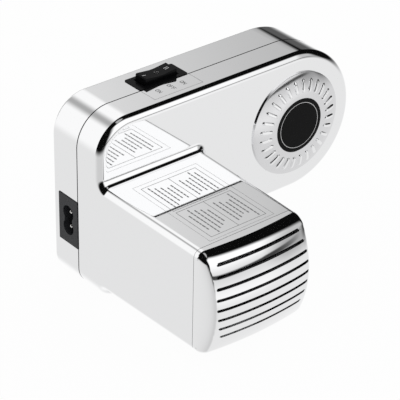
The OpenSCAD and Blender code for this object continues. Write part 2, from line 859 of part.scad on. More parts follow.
module output_bushes() {
    color("peru") {
        tube([0, 0], bush_start, hub_back, shaft_r + bush_wall, shaft_r + running_fit);
        tube([0, 0], plate_start, plate_end, shaft_r + 2, shaft_r + running_fit);
        tube([0, 0], plate_start - front_bush_flange, plate_start, shaft_r + 4, shaft_r + running_fit);
    }
}

module retaining_ring() {
    color("gray") difference() {
        tube([0, 0], ring_depth, ring_depth + ring_t, shaft_r + 2, shaft_r - 0.5);
        facing(ring_depth - over) translate([0, -shaft_r])
            linear_extrude(height = ring_t + 2 * over) square([2.4, 2 * shaft_r], center = true);
    }
}

hub_screw_angles = [45, 135, 225, 315];

// One bayonet slot: in from the collar's rim, then round to the side
module bayonet_slot() {
    lock = collar_out - slot_bayonet - 1;
    difference() {
        union() {
            translate([collar_r - bayonet_depth, -slot_bayonet / 2, -over])
                cube([bayonet_depth + over, slot_bayonet, collar_out - lock + over]);
            translate([0, 0, collar_out - lock - slot_bayonet]) linear_extrude(height = slot_bayonet)
                polygon([[0, 0], 2 * collar_r * towards(0), 2 * collar_r * towards(30)]);
        }
        translate([0, 0, -2 * over])
            cylinder(h = collar_out + 3 * over, r = collar_r - bayonet_depth);
    }
}

module coupling_hub() {
    color("lightgray") difference() {
        union() {
            bar([0, 0], wall, hub_back, flange_r);
            bar([0, 0], 0, wall + tiny, collar_r - 2 * loose_fit);
            bar([0, 0], -collar_out, tiny, collar_r);
        }
        bar([0, 0], -collar_out - over, hub_back + over, shaft_r + bush_wall);
        for (a = hub_screw_angles)
            bar(hub_screw_circle * towards(a), wall - over, hub_back + over, small_screw_r);
        facing(-collar_out) for (a = [0, 180]) rotate([0, 0, a]) bayonet_slot();
    }
}

module hub_screws() {
    color("gray") for (a = hub_screw_angles) {
        at = hub_screw_circle * towards(a);
        bar(at, head_t - tiny, hub_back, small_screw_r);
        bar(at, 0, head_t, head_r);
    }
}

// --- gear plate ----------------------------------------------------------

module gear_plate() {
    color("darkgray") difference() {
        facing(plate_start) linear_extrude(height = plate_t) casing(wall + free_gap);
        for (at = case_bosses) bar(at, plate_start - over, plate_end + over, boss_r + free_gap);
        for (at = plate_bosses)
            bar(at, plate_start - over, plate_end + over, small_screw_r + loose_fit);
        for (at = [gear_1_at, gear_2_at]) bar(at, plate_start - over, plate_end + over, axle_r);
        bar([0, 0], plate_start - over, plate_end + over, shaft_r + 2);
        bar(motor_at, plate_start - over, plate_end + over, motor_shaft_r + 3);
        for (at = bracket_screws_at)
            bar(at, plate_start - over, plate_end + over, small_screw_r + loose_fit);
    }
}

module plate_screws() {
    color("gray") for (at = plate_bosses) {
        bar(at, plate_start, front_inner - 0.5, small_screw_r - loose_fit);
        bar(at, plate_start - head_t, plate_start, head_r);
    }
}

// --- motor ---------------------------------------------------------------

module bracket_posts(from, to) {
    for (sx = [-1, 1], sz = [-1, 1]) bar(motor_at + post_at * [sx, sz], from, to, post_r);
}

module post_holes(from, to, r) {
    for (sx = [-1, 1], sz = [-1, 1]) bar(motor_at + post_at * [sx, sz], from, to, r);
}

module drive_bracket() {
    color("silver") difference() {
        union() {
            facing(plate_end) translate(motor_at) linear_extrude(height = bracket_t)
                round_rect(stator_w, stator_w, 4);
            bracket_posts(bracket_end - tiny, stator_start);
        }
        bar(motor_at, bearing_1_start, bracket_end + over, bearing_r);
        bar(motor_at, plate_end - over, bracket_end, motor_shaft_r + 3);
        post_holes(plate_end + 4, stator_start + over, motor_screw_r);
        for (at = bracket_screws_at) bar(at, plate_end - over, bracket_end - 2, small_screw_r);
        for (s = [-1, 1]) for (axis = [[1, 0], [0, 1]])
            bar(motor_at + s * 17 * axis, plate_end - over, bracket_end + over, 3.5);
    }
}

module brush_bracket() {
    color("silver") difference() {
        union() {
            facing(rear_bracket_start) translate(motor_at) linear_extrude(height = rear_bracket_t)
                round_rect(stator_w, stator_w, 4);
            bar(motor_at, rear_bracket_start, bearing_2_end, bearing_r + 2.5);
            bracket_posts(stator_end, rear_bracket_start + tiny);
        }
        bar(motor_at, bearing_2_start, bearing_2_end + over, bearing_r);
        bar(motor_at, rear_bracket_start - over, bearing_2_end, motor_shaft_r + 1);
        post_holes(stator_end - over, rear_bracket_start + rear_bracket_t + over,
            motor_screw_r + loose_fit);
        for (s = [-1, 1]) for (axis = [[1, 0], [0, 1]])
            bar(motor_at + s * 18 * axis, rear_bracket_start - over,
                rear_bracket_start + rear_bracket_t + over, 3.4);
    }
}

module motor_bearings() {
    color("lightgray") {
        tube(motor_at, bearing_1_start, bearing_1_start + bearing_w, bearing_r,
            motor_shaft_r + running_fit);
        tube(motor_at, bearing_2_start, bearing_2_end, bearing_r, motor_shaft_r + running_fit);
    }
}

module bracket_screws() {
    color("gray") for (at = bracket_screws_at) {
        bar(at, plate_start, bracket_end - 2.5, small_screw_r);
        bar(at, plate_start - head_t, plate_start, head_r);
    }
}

module motor_screws() {
    color("gray") for (sx = [-1, 1], sz = [-1, 1]) {
        at = motor_at + post_at * [sx, sz];
        bar(at, plate_end + 5, rear_bracket_start + rear_bracket_t, motor_screw_r);
        bar(at, rear_bracket_start + rear_bracket_t, rear_bracket_start + rear_bracket_t + 2.4, 3.4);
    }
}

pole_neck = 9.5;
shoe_t = 2.4;
coil_gap = 0.2;
window_half = stator_w / 2 - yoke_t;
window_r = 4.5;
shoe_r = window_half - coil_t - 2 * coil_gap;
stator_bore_r = shoe_r - shoe_t;

module stator_core() {
    color("slategray") difference() {
        facing(stator_start) translate(motor_at) linear_extrude(height = stator_len) difference() {
            union() {
                difference() {
                    round_rect(stator_w, stator_w, 4);
                    round_rect(2 * window_half, 2 * window_half, window_r);
                }
                square([2 * pole_neck, 2 * window_half + yoke_t], center = true);
                intersection() {
                    circle(r = shoe_r);
                    square([1.7 * shoe_r, 2 * shoe_r], center = true);
                    union() {
                        translate([-shoe_r, 5]) square([2 * shoe_r, shoe_r]);
                        translate([-shoe_r, -5 - shoe_r]) square([2 * shoe_r, shoe_r]);
                    }
                }
            }
            circle(r = stator_bore_r);
        }
        post_holes(stator_start - over, stator_end + over, motor_screw_r);
    }
}

coil_low = shoe_r + coil_gap;
coil_high = window_half - coil_gap;
coil_side = 3.5;
coil_reach = window_half - pole_neck - coil_side;

module field_coils() {
    depth_half = stator_len / 2;
    color("sienna") for (s = [-1, 1])
        translate([motor_at.x, -stator_start - depth_half,
            motor_at.y + (s > 0 ? coil_low : -coil_high)])
            linear_extrude(height = coil_high - coil_low) difference() {
                round_rect(2 * (pole_neck + coil_reach), 2 * (depth_half + 0.3 + coil_reach), 5);
                square([2 * (pole_neck + 0.2), 2 * (depth_half + 0.3)], center = true);
            }
}

module motor_shaft() {
    color("silver") {
        bar(motor_at, fast_start - 0.5, plate_start + 0.5, pinion_bore_r);
        bar(motor_at, plate_start + 0.5 - tiny, motor_shaft_end, motor_shaft_r);
    }
}

core_r = stator_bore_r - air_gap;
slot_r_in = 6.5;
slot_w = 2.6;
slot_r_out = core_r - 1.2;

module slot_cuts(w, r_in, r_out) {
    for (k = [0:armature_slots - 1]) rotate([0, 0, 360 * k / armature_slots])
        translate([r_in, -w / 2]) square([r_out - r_in, w]);
}

module armature_core() {
    color("slategray") facing(stator_start) translate(motor_at) linear_extrude(height = stator_len)
        difference() {
            circle(r = core_r);
            circle(r = motor_shaft_r);
            slot_cuts(slot_w, slot_r_in, slot_r_out);
            slot_cuts(slot_w / 3, slot_r_out - over, core_r + over);
        }
}

module armature_winding() {
    wire_w = slot_w - 0.3;
    color("chocolate") {
        facing(winding_start) translate(motor_at)
            linear_extrude(height = winding_end - winding_start)
                slot_cuts(wire_w, slot_r_in + 0.2, slot_r_out - 0.2);
        for (span = [[winding_start, stator_start], [stator_end, winding_end]])
            tube(motor_at, span[0], span[1], slot_r_out - 0.2, motor_shaft_r);
    }
}

module commutator() {
    color("peru") facing(commutator_start) translate(motor_at)
        linear_extrude(height = commutator_len) difference() {
            circle(r = commutator_r);
            circle(r = motor_shaft_r);
            for (k = [0:armature_slots - 1]) rotate([0, 0, 360 * k / armature_slots])
                translate([commutator_r - over, -0.3]) square([2 * over, 0.6]);
        }
}

module cooling_fan() {
    color("darkslategray") difference() {
        union() {
            bar(motor_at, fan_start, fan_start + 1.2, fan_r);
            bar(motor_at, fan_start, fan_start + fan_t, motor_shaft_r + 3.5);
            facing(fan_start) translate(motor_at) linear_extrude(height = fan_t)
                for (k = [0:fan_blades - 1]) rotate([0, 0, 360 * k / fan_blades])
                    translate([motor_shaft_r + 6, -0.6]) square([fan_r - motor_shaft_r - 6.5, 1.2]);
        }
        bar(motor_at, fan_start - over, fan_start + fan_t + over, motor_shaft_r);
    }
}

brush_start = commutator_r + 0.3;
brush_len = 11;

module brush_holders() {
    half = brush_w / 2 + 0.1;
    color("goldenrod") for (s = [-1, 1])
        translate([motor_at.x, -brush_depth, motor_at.y]) rotate([0, s * 90, 0])
            translate([0, 0, brush_start + 1.2]) linear_extrude(height = brush_len + 1) difference() {
                square([2 * (half + holder_wall), brush_w + 2 * holder_wall], center = true);
                square([2 * half, 2 * half], center = true);
            }
}

module carbon_brushes() {
    color("dimgray") for (s = [-1, 1])
        translate([motor_at.x, -brush_depth, motor_at.y]) rotate([0, s * 90, 0])
            translate([-brush_w / 2, -brush_w / 2, brush_start]) cube([brush_w, brush_w, brush_len]);
}

// --- safety plunger ------------------------------------------------------

chamber_r = 4.4;
plunger_boss_r = chamber_r + 1.2;
plunger_chamber = 10;
collar_t = 1.5;
stem_r = 1.6;
collar_start = wall + 0.3;
safety_switch_len = 20;
safety_switch_h = 10;
safety_switch_w = 6.4;
safety_switch_start = plate_start - safety_switch_h;
stem_end = safety_switch_start - 0.5 - plunger_travel - 0.2;

module safety_plunger() {
    color("red") {
        bar(plunger_at, -plunger_out, collar_start + tiny, plunger_r);
        bar(plunger_at, collar_start, collar_start + collar_t, chamber_r - 0.3);
        bar(plunger_at, collar_start + collar_t - tiny, stem_end, stem_r);
    }
}

spring_turns = 5;
spring_r = chamber_r - 0.3 - spring_wire_r - 0.6;
spring_from = collar_start + collar_t + spring_wire_r;
spring_to = plunger_chamber - spring_wire_r;
spring_sides = 8;
spring_steps = 16;

// Centre line and frame of the spring's wire at step k
function coil_point(k) =
    let (total = spring_turns * spring_steps)
    [spring_r * cos(360 * k / spring_steps), spring_r * sin(360 * k / spring_steps),
        spring_from + (spring_to - spring_from) * k / total];

module plunger_spring() {
    total = spring_turns * spring_steps;
    points = [for (k = [0:total], s = [0:spring_sides - 1])
        let (
            c = coil_point(k),
            out = [c.x, c.y, 0] / spring_r,
            a = 360 * s / spring_sides
        )
        c + spring_wire_r * (cos(a) * out + sin(a) * [0, 0, 1])];
    sides = [for (k = [0:total - 1], s = [0:spring_sides - 1])
        let (n = (s + 1) % spring_sides)
        [k * spring_sides + s, (k + 1) * spring_sides + s, (k + 1) * spring_sides + n,
            k * spring_sides + n]];
    color("gray") facing(0) translate(plunger_at) polyhedron(
        points = points,
        faces = concat(sides,
            [[for (s = [0:spring_sides - 1]) s]],
            [[for (s = [spring_sides - 1:-1:0]) total * spring_sides + s]])
    );
}

module spring_retainer() {
    color("gray") tube(plunger_at, plunger_chamber, plunger_chamber + 1, plunger_boss_r,
        stem_r + running_fit);
}

module safety_switch() {
    color("darkred") {
        facing(safety_switch_start) translate(plunger_at) linear_extrude(height = safety_switch_h)
            square([safety_switch_len, safety_switch_w], center = true);
        bar(plunger_at, safety_switch_start - 0.5, safety_switch_start + tiny, 1);
    }
}

// --- case screws and feet ------------------------------------------------

case_head_r = 2.8;
case_head_depth = 3;

module case_screws() {
    color("gray") for (at = case_bosses) {
        bar(at, case_head_depth - 0.6, front_inner - over - 1, case_screw_r - loose_fit);
        bar(at, case_head_depth - 2.2, case_head_depth, case_head_r);
    }
}

module rubber_feet() {
    box_bottom = motor_at.y - box_h / 2 + box_draft * (feet_depth - front);
    color("black") for (x = [-feet_spread, feet_spread])
        translate([motor_at.x + x, -feet_depth, -base_drop]) {
            cylinder(h = box_bottom + base_drop - 0.1, r = foot_r);
            cylinder(h = box_bottom + base_drop + wall + 0.5, r = foot_stud_r);
        }
}

rear_shell();
front_shell();
grille_cap();
badge_ring();
badge_disc();
switch_frame();
switch_rocker();
switch_terminals();
inlet_body();
inlet_pins();
inlet_terminals();
gear_plate();
plate_screws();
drive_bracket();
brush_bracket();
bracket_screws();
motor_screws();
motor_bearings();
stator_core();
field_coils();
brush_holders();
carbon_brushes();
motor_shaft();
armature_core();
armature_winding();
commutator();
cooling_fan();
motor_pinion();
first_gear();
second_gear();
gear_axles();
output_gear();
output_shaft();
output_bushes();
retaining_ring();
coupling_hub();
hub_screws();
safety_plunger();
plunger_spring();
spring_retainer();
safety_switch();
case_screws();
rubber_feet();
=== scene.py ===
import math

import bpy
import numpy as np
from mathutils import Matrix, Vector
from mathutils.geometry import delaunay_2d_cdt


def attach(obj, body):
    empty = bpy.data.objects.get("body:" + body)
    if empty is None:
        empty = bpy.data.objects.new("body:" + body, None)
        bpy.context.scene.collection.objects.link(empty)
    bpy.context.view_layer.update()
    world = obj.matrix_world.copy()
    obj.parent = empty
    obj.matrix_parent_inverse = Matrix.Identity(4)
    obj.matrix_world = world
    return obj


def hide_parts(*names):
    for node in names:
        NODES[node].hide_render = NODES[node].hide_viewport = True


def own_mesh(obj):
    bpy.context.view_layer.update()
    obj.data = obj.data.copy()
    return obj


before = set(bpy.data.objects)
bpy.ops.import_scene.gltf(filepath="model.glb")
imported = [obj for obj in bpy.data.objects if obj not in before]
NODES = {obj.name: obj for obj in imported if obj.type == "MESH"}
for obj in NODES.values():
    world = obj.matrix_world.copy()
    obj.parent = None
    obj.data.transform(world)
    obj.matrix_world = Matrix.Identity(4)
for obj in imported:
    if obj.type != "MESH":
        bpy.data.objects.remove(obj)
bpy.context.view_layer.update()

MM = 0.001

# ---- sizes, in millimetres, as the CAD has them ---------------------------
# The output axis is x = z = 0. x runs to the right, z runs up, and depth runs from the rear
# face at 0 towards the viewer.
END_R, BASE = 40.4, 61.9                    # half-round end; output axis to the casing's base
TOP_R, BASE_R = 20.0, 12.0                  # the outline's corners, at the top and at the base
SEAM, FRONT = 20.7, 39.4                    # depths of the joint and of the front face
EDGE_R, REAR_R, WALL = 4.2, 1.5, 2.4
GAP = 0.33                                  # half the width of the joint between the shells
GEAR_X = -41.2293                           # axle of the second gear
# motor box
MX, MZ = -97.4511, -23.4528                 # motor axis
BOX_W, BOX_H, BOX_LEN, BOX_R, DRAFT = 66.0, 60.6, 72.4, 4.0, 0.015
JOIN_R, JOIN_MIN = 4.0, 0.6                 # hollow round where the box leaves the casing
LEFT, LEG_R = MX - BOX_W / 2, MX + BOX_W / 2
CAP_AT = FRONT + BOX_LEN
# half width and half height of the box at its open end
ex, ez = BOX_W / 2 - DRAFT * BOX_LEN, BOX_H / 2 - DRAFT * BOX_LEN
# grille cap
CAP_SIDE, CAP_CROWN, CAP_EDGE, BULGE, FULL_X, FULL_Z = 2.2, 2.2, 4.4, 18.0, 4.0, 0.92
CROWN_POWER, ACROSS_POWER = 1.7, 0.06
SLOTS, PITCH, LIFT, SLOT_H, SLOT_LEN = 8, 5.65, 4.3, 1.6, 59.0
SLOT_REACH = 0.72                           # the slots' ends follow an ellipse this wide
SLOT_R = SLOT_H / 2
# badge
BADGE_R, DISC_R, BADGE_H, RIM_H, DISC_T = 29.7, 15.5, 3.9, 0.9, 1.2
RIM_R, LIP_R = 0.25, 0.3                    # rounds of its outer rim and of its inner lip
RIBS, RIB_AT, RIB_LEN, RIB_W, RIB_H = 28, 22.7, 3.9, 1.05, 0.85
# switch and inlet
SW_X, SW_D, SW_RIM, SW_CUT, SW_CUT_FROM = -74.4, 13.8, 0.4, 13.85, 7.75
PIVOT = END_R + SW_RIM - 2.2
IN_Z, IN_D, IN_CUT, IN_CUT_FROM = -24.6, 12.8, 14.0, 4.75
PIN_R, PIN_APART, PIN_TIP, PIN_FROM = 1.17, 8.6, 2.08, 2.7
# holes in the rear face: output collar, plunger, case screws and hub screws
COLLAR_HOLE, PLUNGER_HOLE, CASE_HOLE, HUB_HOLE = 17.15, 2.55, 2.95, 2.05
PLUNGER_AT = (-45, -31)
CASE_SINK, CASE_SHANK, HUB_RING = 3, 1.5, 23
CASE_AT = [(LEFT + TOP_R * 0.62, END_R - TOP_R * 0.62), (LEFT + 10.4, -53.5),
           (LEG_R - 10.4, -53.5), (GEAR_X / 2 - 2.4, 33.5), (GEAR_X / 2 + 0.6, -33.5)]
HUB_AT = [(HUB_RING * math.cos(math.radians(a)), HUB_RING * math.sin(math.radians(a)))
          for a in (45, 135, 225, 315)]


# ---- mesh tools ------------------------------------------------------------
def link(o):
    bpy.context.scene.collection.objects.link(o)
    return o


def to_world(p):
    """(x, depth, z) in mm to metres in the row frame: depth runs along -Y."""
    p = np.asarray(p, float)
    return np.stack([p[..., 0], -p[..., 1], p[..., 2]], -1) * MM


def make(name, verts, faces, mat, normals, smooth=True, body="housing"):
    """A mesh from (x, depth, z) points. Faces may come wound either way: normals turn them."""
    me = bpy.data.meshes.new(name)
    v = to_world(verts)
    n = np.asarray(normals, float) * (1, -1, 1)
    out = []
    for f in faces:
        a, b, c = v[f[0]], v[f[1]], v[f[-1]]
        g = np.cross(b - a, c - a)
        if np.dot(g, g) < 1e-22 and len(f) > 3:
            g = np.cross(v[f[1]] - v[f[0]], v[f[2]] - v[f[1]])
        if g @ (n[f[0]] + n[f[len(f) // 2]]) < 0:
            f = f[::-1]
        out.append(tuple(int(i) for i in f))
    me.from_pydata([tuple(p) for p in v], [], out)
    me.validate()
    o = link(bpy.data.objects.new(name, me))
    me.materials.append(mat)
    if smooth:
        me.polygons.foreach_set("use_smooth", [True] * len(me.polygons))
        n = n / np.maximum(np.linalg.norm(n, axis=1)[:, None], 1e-12)
        me.normals_split_custom_set_from_vertices([tuple(q) for q in n])
    me.update()
    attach(o, body)
    return o


def outline(extra_top, extra_left):
    """The casing's outline anticlockwise from the arm's underside: (point, normal, inset step)."""
    P = []

    def arc(cx, cz, r, a0, a1, n):
        for k in range(n + 1):
            a = math.radians(a0 + (a1 - a0) * k / n)
            q = (math.cos(a), math.sin(a))
            P.append(((cx + r * q[0], cz + r * q[1]), q, q))

    arc(0, 0, END_R, -90, 90, 96)
    for x in sorted(extra_top, reverse=True):
        P.append(((x, END_R), (0, 1), (0, 1)))
    arc(LEFT + TOP_R, END_R - TOP_R, TOP_R, 90, 180, 32)
    for z in sorted(extra_left, reverse=True):
        P.append(((LEFT, z), (-1, 0), (-1, 0)))
    arc(LEFT + BASE_R, BASE_R - BASE, BASE_R, 180, 270, 24)
    arc(LEG_R - BASE_R, BASE_R - BASE, BASE_R, 270, 360, 24)
    # the inner corner under the arm has a point for each of its two walls
    P.append(((LEG_R, -END_R), (1, 0), (1, -1)))
    P.append(((LEG_R, -END_R), (0, -1), (1, -1)))
    return P


def sweep(P, profile, skip):
    """Rings of the outline P along profile rows (inset, depth, outward part, depth part)."""
    n, V, N, F = len(P), [], [], []
    for ins, d, no, nd in profile:
        for p, q, st in P:
            V.append((p[0] - st[0] * ins, d, p[1] - st[1] * ins))
            N.append((q[0] * no, nd, q[1] * no))
    for i in range(len(profile) - 1):
        for j in range(n):
            k = (j + 1) % n
            if P[j][0] == P[k][0] and P[j][1] != P[k][1]:
                continue
            if skip(P[j][0], P[k][0], profile[i], profile[i + 1]):
                continue
            F.append((i * n + j, i * n + k, (i + 1) * n + k, (i + 1) * n + j))
    return V, N, F


def inside(poly, x, z):
    """True where (x, z) lies in the polygon, an array of points."""
    a, b = poly, np.roll(poly, -1, axis=0)
    c = ((a[:, 1] > z) != (b[:, 1] > z)) & (
        x < (b[:, 0] - a[:, 0]) * (z - a[:, 1]) / (b[:, 1] - a[:, 1] + 1e-15) + a[:, 0])
    return bool(np.count_nonzero(c) % 2)


def plate(loops, depth, normal):
    """A flat face at a depth: outer loop first, then holes, all as (x, z) lists."""
    pts, edges = [], []
    for lp in loops:
        s = len(pts)
        pts += [Vector(p) for p in lp]
        edges += [(s + i, s + (i + 1) % len(lp)) for i in range(len(lp))]
    vs, _, fs, _, _, _ = delaunay_2d_cdt(pts, edges, [], 0, 1e-5)
    outer, *holes = [np.array(lp) for lp in loops]
    keep = []
    for f in fs:
        c = sum((vs[i] for i in f), Vector((0, 0))) / len(f)
        if inside(outer, c.x, c.y) and not any(inside(h, c.x, c.y) for h in holes):
            keep.append(tuple(f))
    V = [(v.x, depth, v.y) for v in vs]
    return V, [(0, normal, 0)] * len(V), keep


def circle(cx, cz, r, n):
    return [(cx + r * math.cos(2 * math.pi * k / n), cz + r * math.sin(2 * math.pi * k / n))
            for k in range(n)]


def join_parts(parts):
    """One mesh from several (points, normals, faces)."""
    V, N, F = [], [], []
    for v, n, f in parts:
        s = len(V)
        V += list(map(tuple, v))
        N += list(map(tuple, n))
        F += [tuple(i + s for i in q) for q in f]
    return V, N, F


def lathe(cx, cz, rows, n):
    """Surface of revolution about the depth axis: rows of (r, depth, radial part, depth part)."""
    V, N, F = [], [], []
    for r, d, nr, nd in rows:
        for k in range(n):
            a = 2 * math.pi * k / n
            c, s = math.cos(a), math.sin(a)
            V.append((cx + r * c, d, cz + r * s))
            N.append((nr * c, nd, nr * s))
    for i in range(len(rows) - 1):
        if rows[i][:2] == rows[i + 1][:2]:
            continue
        for k in range(n):
            j = (k + 1) % n
            F.append((i * n + k, i * n + j, (i + 1) * n + j, (i + 1) * n + k))
    return V, N, F


def surface_nets(f, xs, ds, zs, snap):
    """Quads on f = 0 over a rectilinear grid, with vertices pushed onto the surface."""
    X, D, Z = np.meshgrid(xs, ds, zs, indexing="ij")
    G = f(X, D, Z)
    cs = tuple(n - 1 for n in G.shape)
    acc = np.zeros(cs + (3,))
    cnt = np.zeros(cs)
    edges = []
    for ax in range(3):
        lo, hi = [slice(None)] * 3, [slice(None)] * 3
        lo[ax], hi[ax] = slice(0, -1), slice(1, None)
        a, b = G[tuple(lo)], G[tuple(hi)]
        cross = (a < 0) != (b < 0)
        idx = np.argwhere(cross)
        t = a[cross] / (a[cross] - b[cross])
        P = np.stack([g[tuple(lo)][cross] for g in (X, D, Z)], -1)
        Q = np.stack([g[tuple(hi)][cross] for g in (X, D, Z)], -1)
        C = P + (Q - P) * t[:, None]
        o1, o2 = [i for i in range(3) if i != ax]
        for s1 in (0, 1):
            for s2 in (0, 1):
                c = idx.copy()
                c[:, o1] -= s1
                c[:, o2] -= s2
                ok = np.all((c >= 0) & (c < np.array(cs)), axis=1)
                np.add.at(acc, tuple(c[ok].T), C[ok])
                np.add.at(cnt, tuple(c[ok].T), 1)
        edges.append((ax, idx))
    act = cnt > 0
    vid = -np.ones(cs, int)
    vid[act] = np.arange(act.sum())
    V = acc[act] / cnt[act][:, None]
    cell = np.argwhere(act)
    lows = np.stack([g[cell[:, i]] for i, g in enumerate((xs, ds, zs))], -1)
    highs = np.stack([g[cell[:, i] + 1] for i, g in enumerate((xs, ds, zs))], -1)

    def grad(P):
        h = 0.01
        g = [f(*(P + h * e).T) - f(*(P - h * e).T) for e in np.eye(3)]
        return np.stack(g, -1) / (2 * h)

    steps, damping, flat, slack = 6, 0.9, 0.05, 0.15
    for _ in range(steps):
        V, g = snap(V, grad(V))
        L = np.maximum((g ** 2).sum(1), flat)
        V = V - (f(*V.T) / L)[:, None] * g * damping
        V = np.clip(V, lows - slack, highs + slack)
    V, _ = snap(V, grad(V))
    F = []
    for ax, idx in edges:
        o1, o2 = [i for i in range(3) if i != ax]
        around = []
        for s1, s2 in ((0, 0), (1, 0), (1, 1), (0, 1)):
            k = idx.copy()
            k[:, o1] -= s1
            k[:, o2] -= s2
            around.append(k)
        ok = np.ones(len(idx), bool)
        for k in around:
            ok &= np.all((k >= 0) & (k < np.array(cs)), axis=1)
        F.append(np.stack([vid[tuple(k[ok].T)] for k in around], -1))
    return V, grad(V), np.concatenate(F)


def spaced(*stops):
    """Grid lines through stops: (value, step from here on), ..., (last value,)."""
    out = []
    for a, b in zip(stops[:-1], stops[1:]):
        n = max(1, int(math.ceil((b[0] - a[0]) / a[1] - 1e-6)))
        out += list(np.linspace(a[0], b[0], n + 1)[:-1])
    return np.array(out + [stops[-1][0]])


# ---- materials -------------------------------------------------------------
BUMP_HEIGHT = 0.00005


def material(name, color, metallic, rough, rough_var, rough_scale, bump, bump_scale,
             spec=0.5, vary=0.0, stretch=(1, 1, 1)):
    """A procedural finish: noise in the roughness, in the bump, and by vary in the colour."""
    m = bpy.data.materials.new(name)
    m.use_nodes = True
    nt = m.node_tree
    b = nt.nodes["Principled BSDF"]
    b.inputs["Base Color"].default_value = (*color, 1)
    b.inputs["Metallic"].default_value = metallic
    b.inputs["Roughness"].default_value = rough
    b.inputs["Specular IOR Level"].default_value = spec
    tc = nt.nodes.new("ShaderNodeTexCoord")
    mp = nt.nodes.new("ShaderNodeMapping")
    mp.inputs["Scale"].default_value = stretch
    nt.links.new(tc.outputs["Object"], mp.inputs["Vector"])

    def noise(scale):
        n = nt.nodes.new("ShaderNodeTexNoise")
        n.inputs["Scale"].default_value = scale
        n.inputs["Detail"].default_value = 3.0
        nt.links.new(mp.outputs["Vector"], n.inputs["Vector"])
        return n.outputs["Fac"]

    r = nt.nodes.new("ShaderNodeMapRange")
    r.inputs["To Min"].default_value = max(0.0, rough - rough_var)
    r.inputs["To Max"].default_value = rough + rough_var
    nt.links.new(noise(rough_scale), r.inputs["Value"])
    nt.links.new(r.outputs["Result"], b.inputs["Roughness"])
    if vary:
        mx = nt.nodes.new("ShaderNodeMix")
        mx.data_type = "RGBA"
        mx.inputs["A"].default_value = (*[c * (1 - vary) for c in color], 1)
        mx.inputs["B"].default_value = (*[min(1, c * (1 + vary)) for c in color], 1)
        nt.links.new(noise(300.0), mx.inputs["Factor"])
        nt.links.new(mx.outputs["Result"], b.inputs["Base Color"])
    bp = nt.nodes.new("ShaderNodeBump")
    bp.inputs["Strength"].default_value = bump
    bp.inputs["Distance"].default_value = BUMP_HEIGHT
    nt.links.new(noise(bump_scale), bp.inputs["Height"])
    nt.links.new(bp.outputs["Normal"], b.inputs["Normal"])
    return m


CHROME = material("polished_chrome", (0.965, 0.967, 0.973), 1.0, 0.035, 0.015, 260, 0.02, 90)
CHROME_IN = material("bare_casting", (0.30, 0.30, 0.31), 0.9, 0.5, 0.1, 500, 0.2, 1500)
JOINT = material("joint_shadow", (0.03, 0.03, 0.032), 0.0, 0.6, 0.05, 700, 0.1, 2500)
BLACK = material("black_gloss_plastic", (0.0035, 0.0035, 0.004), 0.0, 0.22, 0.05, 900, 0.12, 3000,
                 spec=0.06, vary=0.2)
BLACK_MATT = material("black_matt_plastic", (0.03, 0.03, 0.032), 0.0, 0.5, 0.08, 900, 0.5, 3500,
                      vary=0.2)
INLET = material("inlet_plastic", (0.024, 0.025, 0.028), 0.0, 0.42, 0.06, 900, 0.4, 3200,
                 spec=0.25, vary=0.15)
DISC = material("badge_enamel", (0.004, 0.004, 0.0042), 0.0, 0.3, 0.05, 800, 0.08, 2600,
                spec=0.06, vary=0.2)
PRINT_W = material("white_print", (0.62, 0.62, 0.62), 0.0, 0.5, 0.05, 900, 0.1, 2500, vary=0.04)
PRINT_K = material("dark_print", (0.05, 0.05, 0.055), 0.0, 0.5, 0.05, 900, 0.1, 2500, vary=0.1)
PRINT_G = material("grey_print", (0.22, 0.22, 0.225), 0.0, 0.5, 0.05, 900, 0.1, 2500, vary=0.1)
# the badge ring's chrome: rougher than the casing's, and its colour lowered to 0.80 as painted
# shade for the ring's greyer reflections
BADGE_SHADED_CHROME = material("badge_chrome_painted_shade", (0.80, 0.80, 0.81), 1.0, 0.09, 0.02, 300, 0.06, 700)
NICKEL = material("nickel_plating", (0.86, 0.85, 0.82), 1.0, 0.14, 0.03, 700, 0.1, 1500)
STEEL = material("ground_steel", (0.60, 0.61, 0.63), 1.0, 0.28, 0.07, 700, 0.3, 1200, vary=0.05)
ZINC = material("zinc_plated_sheet", (0.56, 0.58, 0.60), 1.0, 0.38, 0.1, 200, 0.25, 900, vary=0.08)
BRASS = material("turned_brass", (0.72, 0.53, 0.22), 1.0, 0.28, 0.06, 600, 0.3, 1500, vary=0.06)
BRONZE = material("oiled_bronze", (0.50, 0.31, 0.15), 1.0, 0.42, 0.08, 900, 0.5, 2400, vary=0.12)
NYLON = material("moulded_nylon", (0.80, 0.77, 0.68), 0.0, 0.45, 0.05, 500, 0.25, 1800, vary=0.03)
ALLOY = material("die_cast_alloy", (0.62, 0.63, 0.64), 1.0, 0.48, 0.1, 400, 0.7, 900, vary=0.06)
LAMIN = material("stacked_laminations", (0.22, 0.22, 0.24), 0.9, 0.5, 0.08, 900, 0.9, 900,
                 vary=0.15, stretch=(0.2, 8, 0.2))
COPPER = material("enamelled_copper", (0.48, 0.19, 0.07), 0.9, 0.35, 0.08, 900, 0.9, 1100,
                  vary=0.15, stretch=(1, 6, 1))
FAN = material("fan_plastic", (0.07, 0.075, 0.08), 0.0, 0.45, 0.06, 600, 0.3, 1800, vary=0.1)
CARBON = material("graphite", (0.035, 0.035, 0.038), 0.2, 0.55, 0.08, 900, 0.6, 2500, vary=0.2)
RED = material("red_moulding", (0.42, 0.03, 0.02), 0.0, 0.32, 0.06, 700, 0.2, 2200, vary=0.08)
RUBBER = material("rubber_foot", (0.022, 0.022, 0.022), 0.0, 0.75, 0.08, 900, 0.8, 2500, vary=0.2)

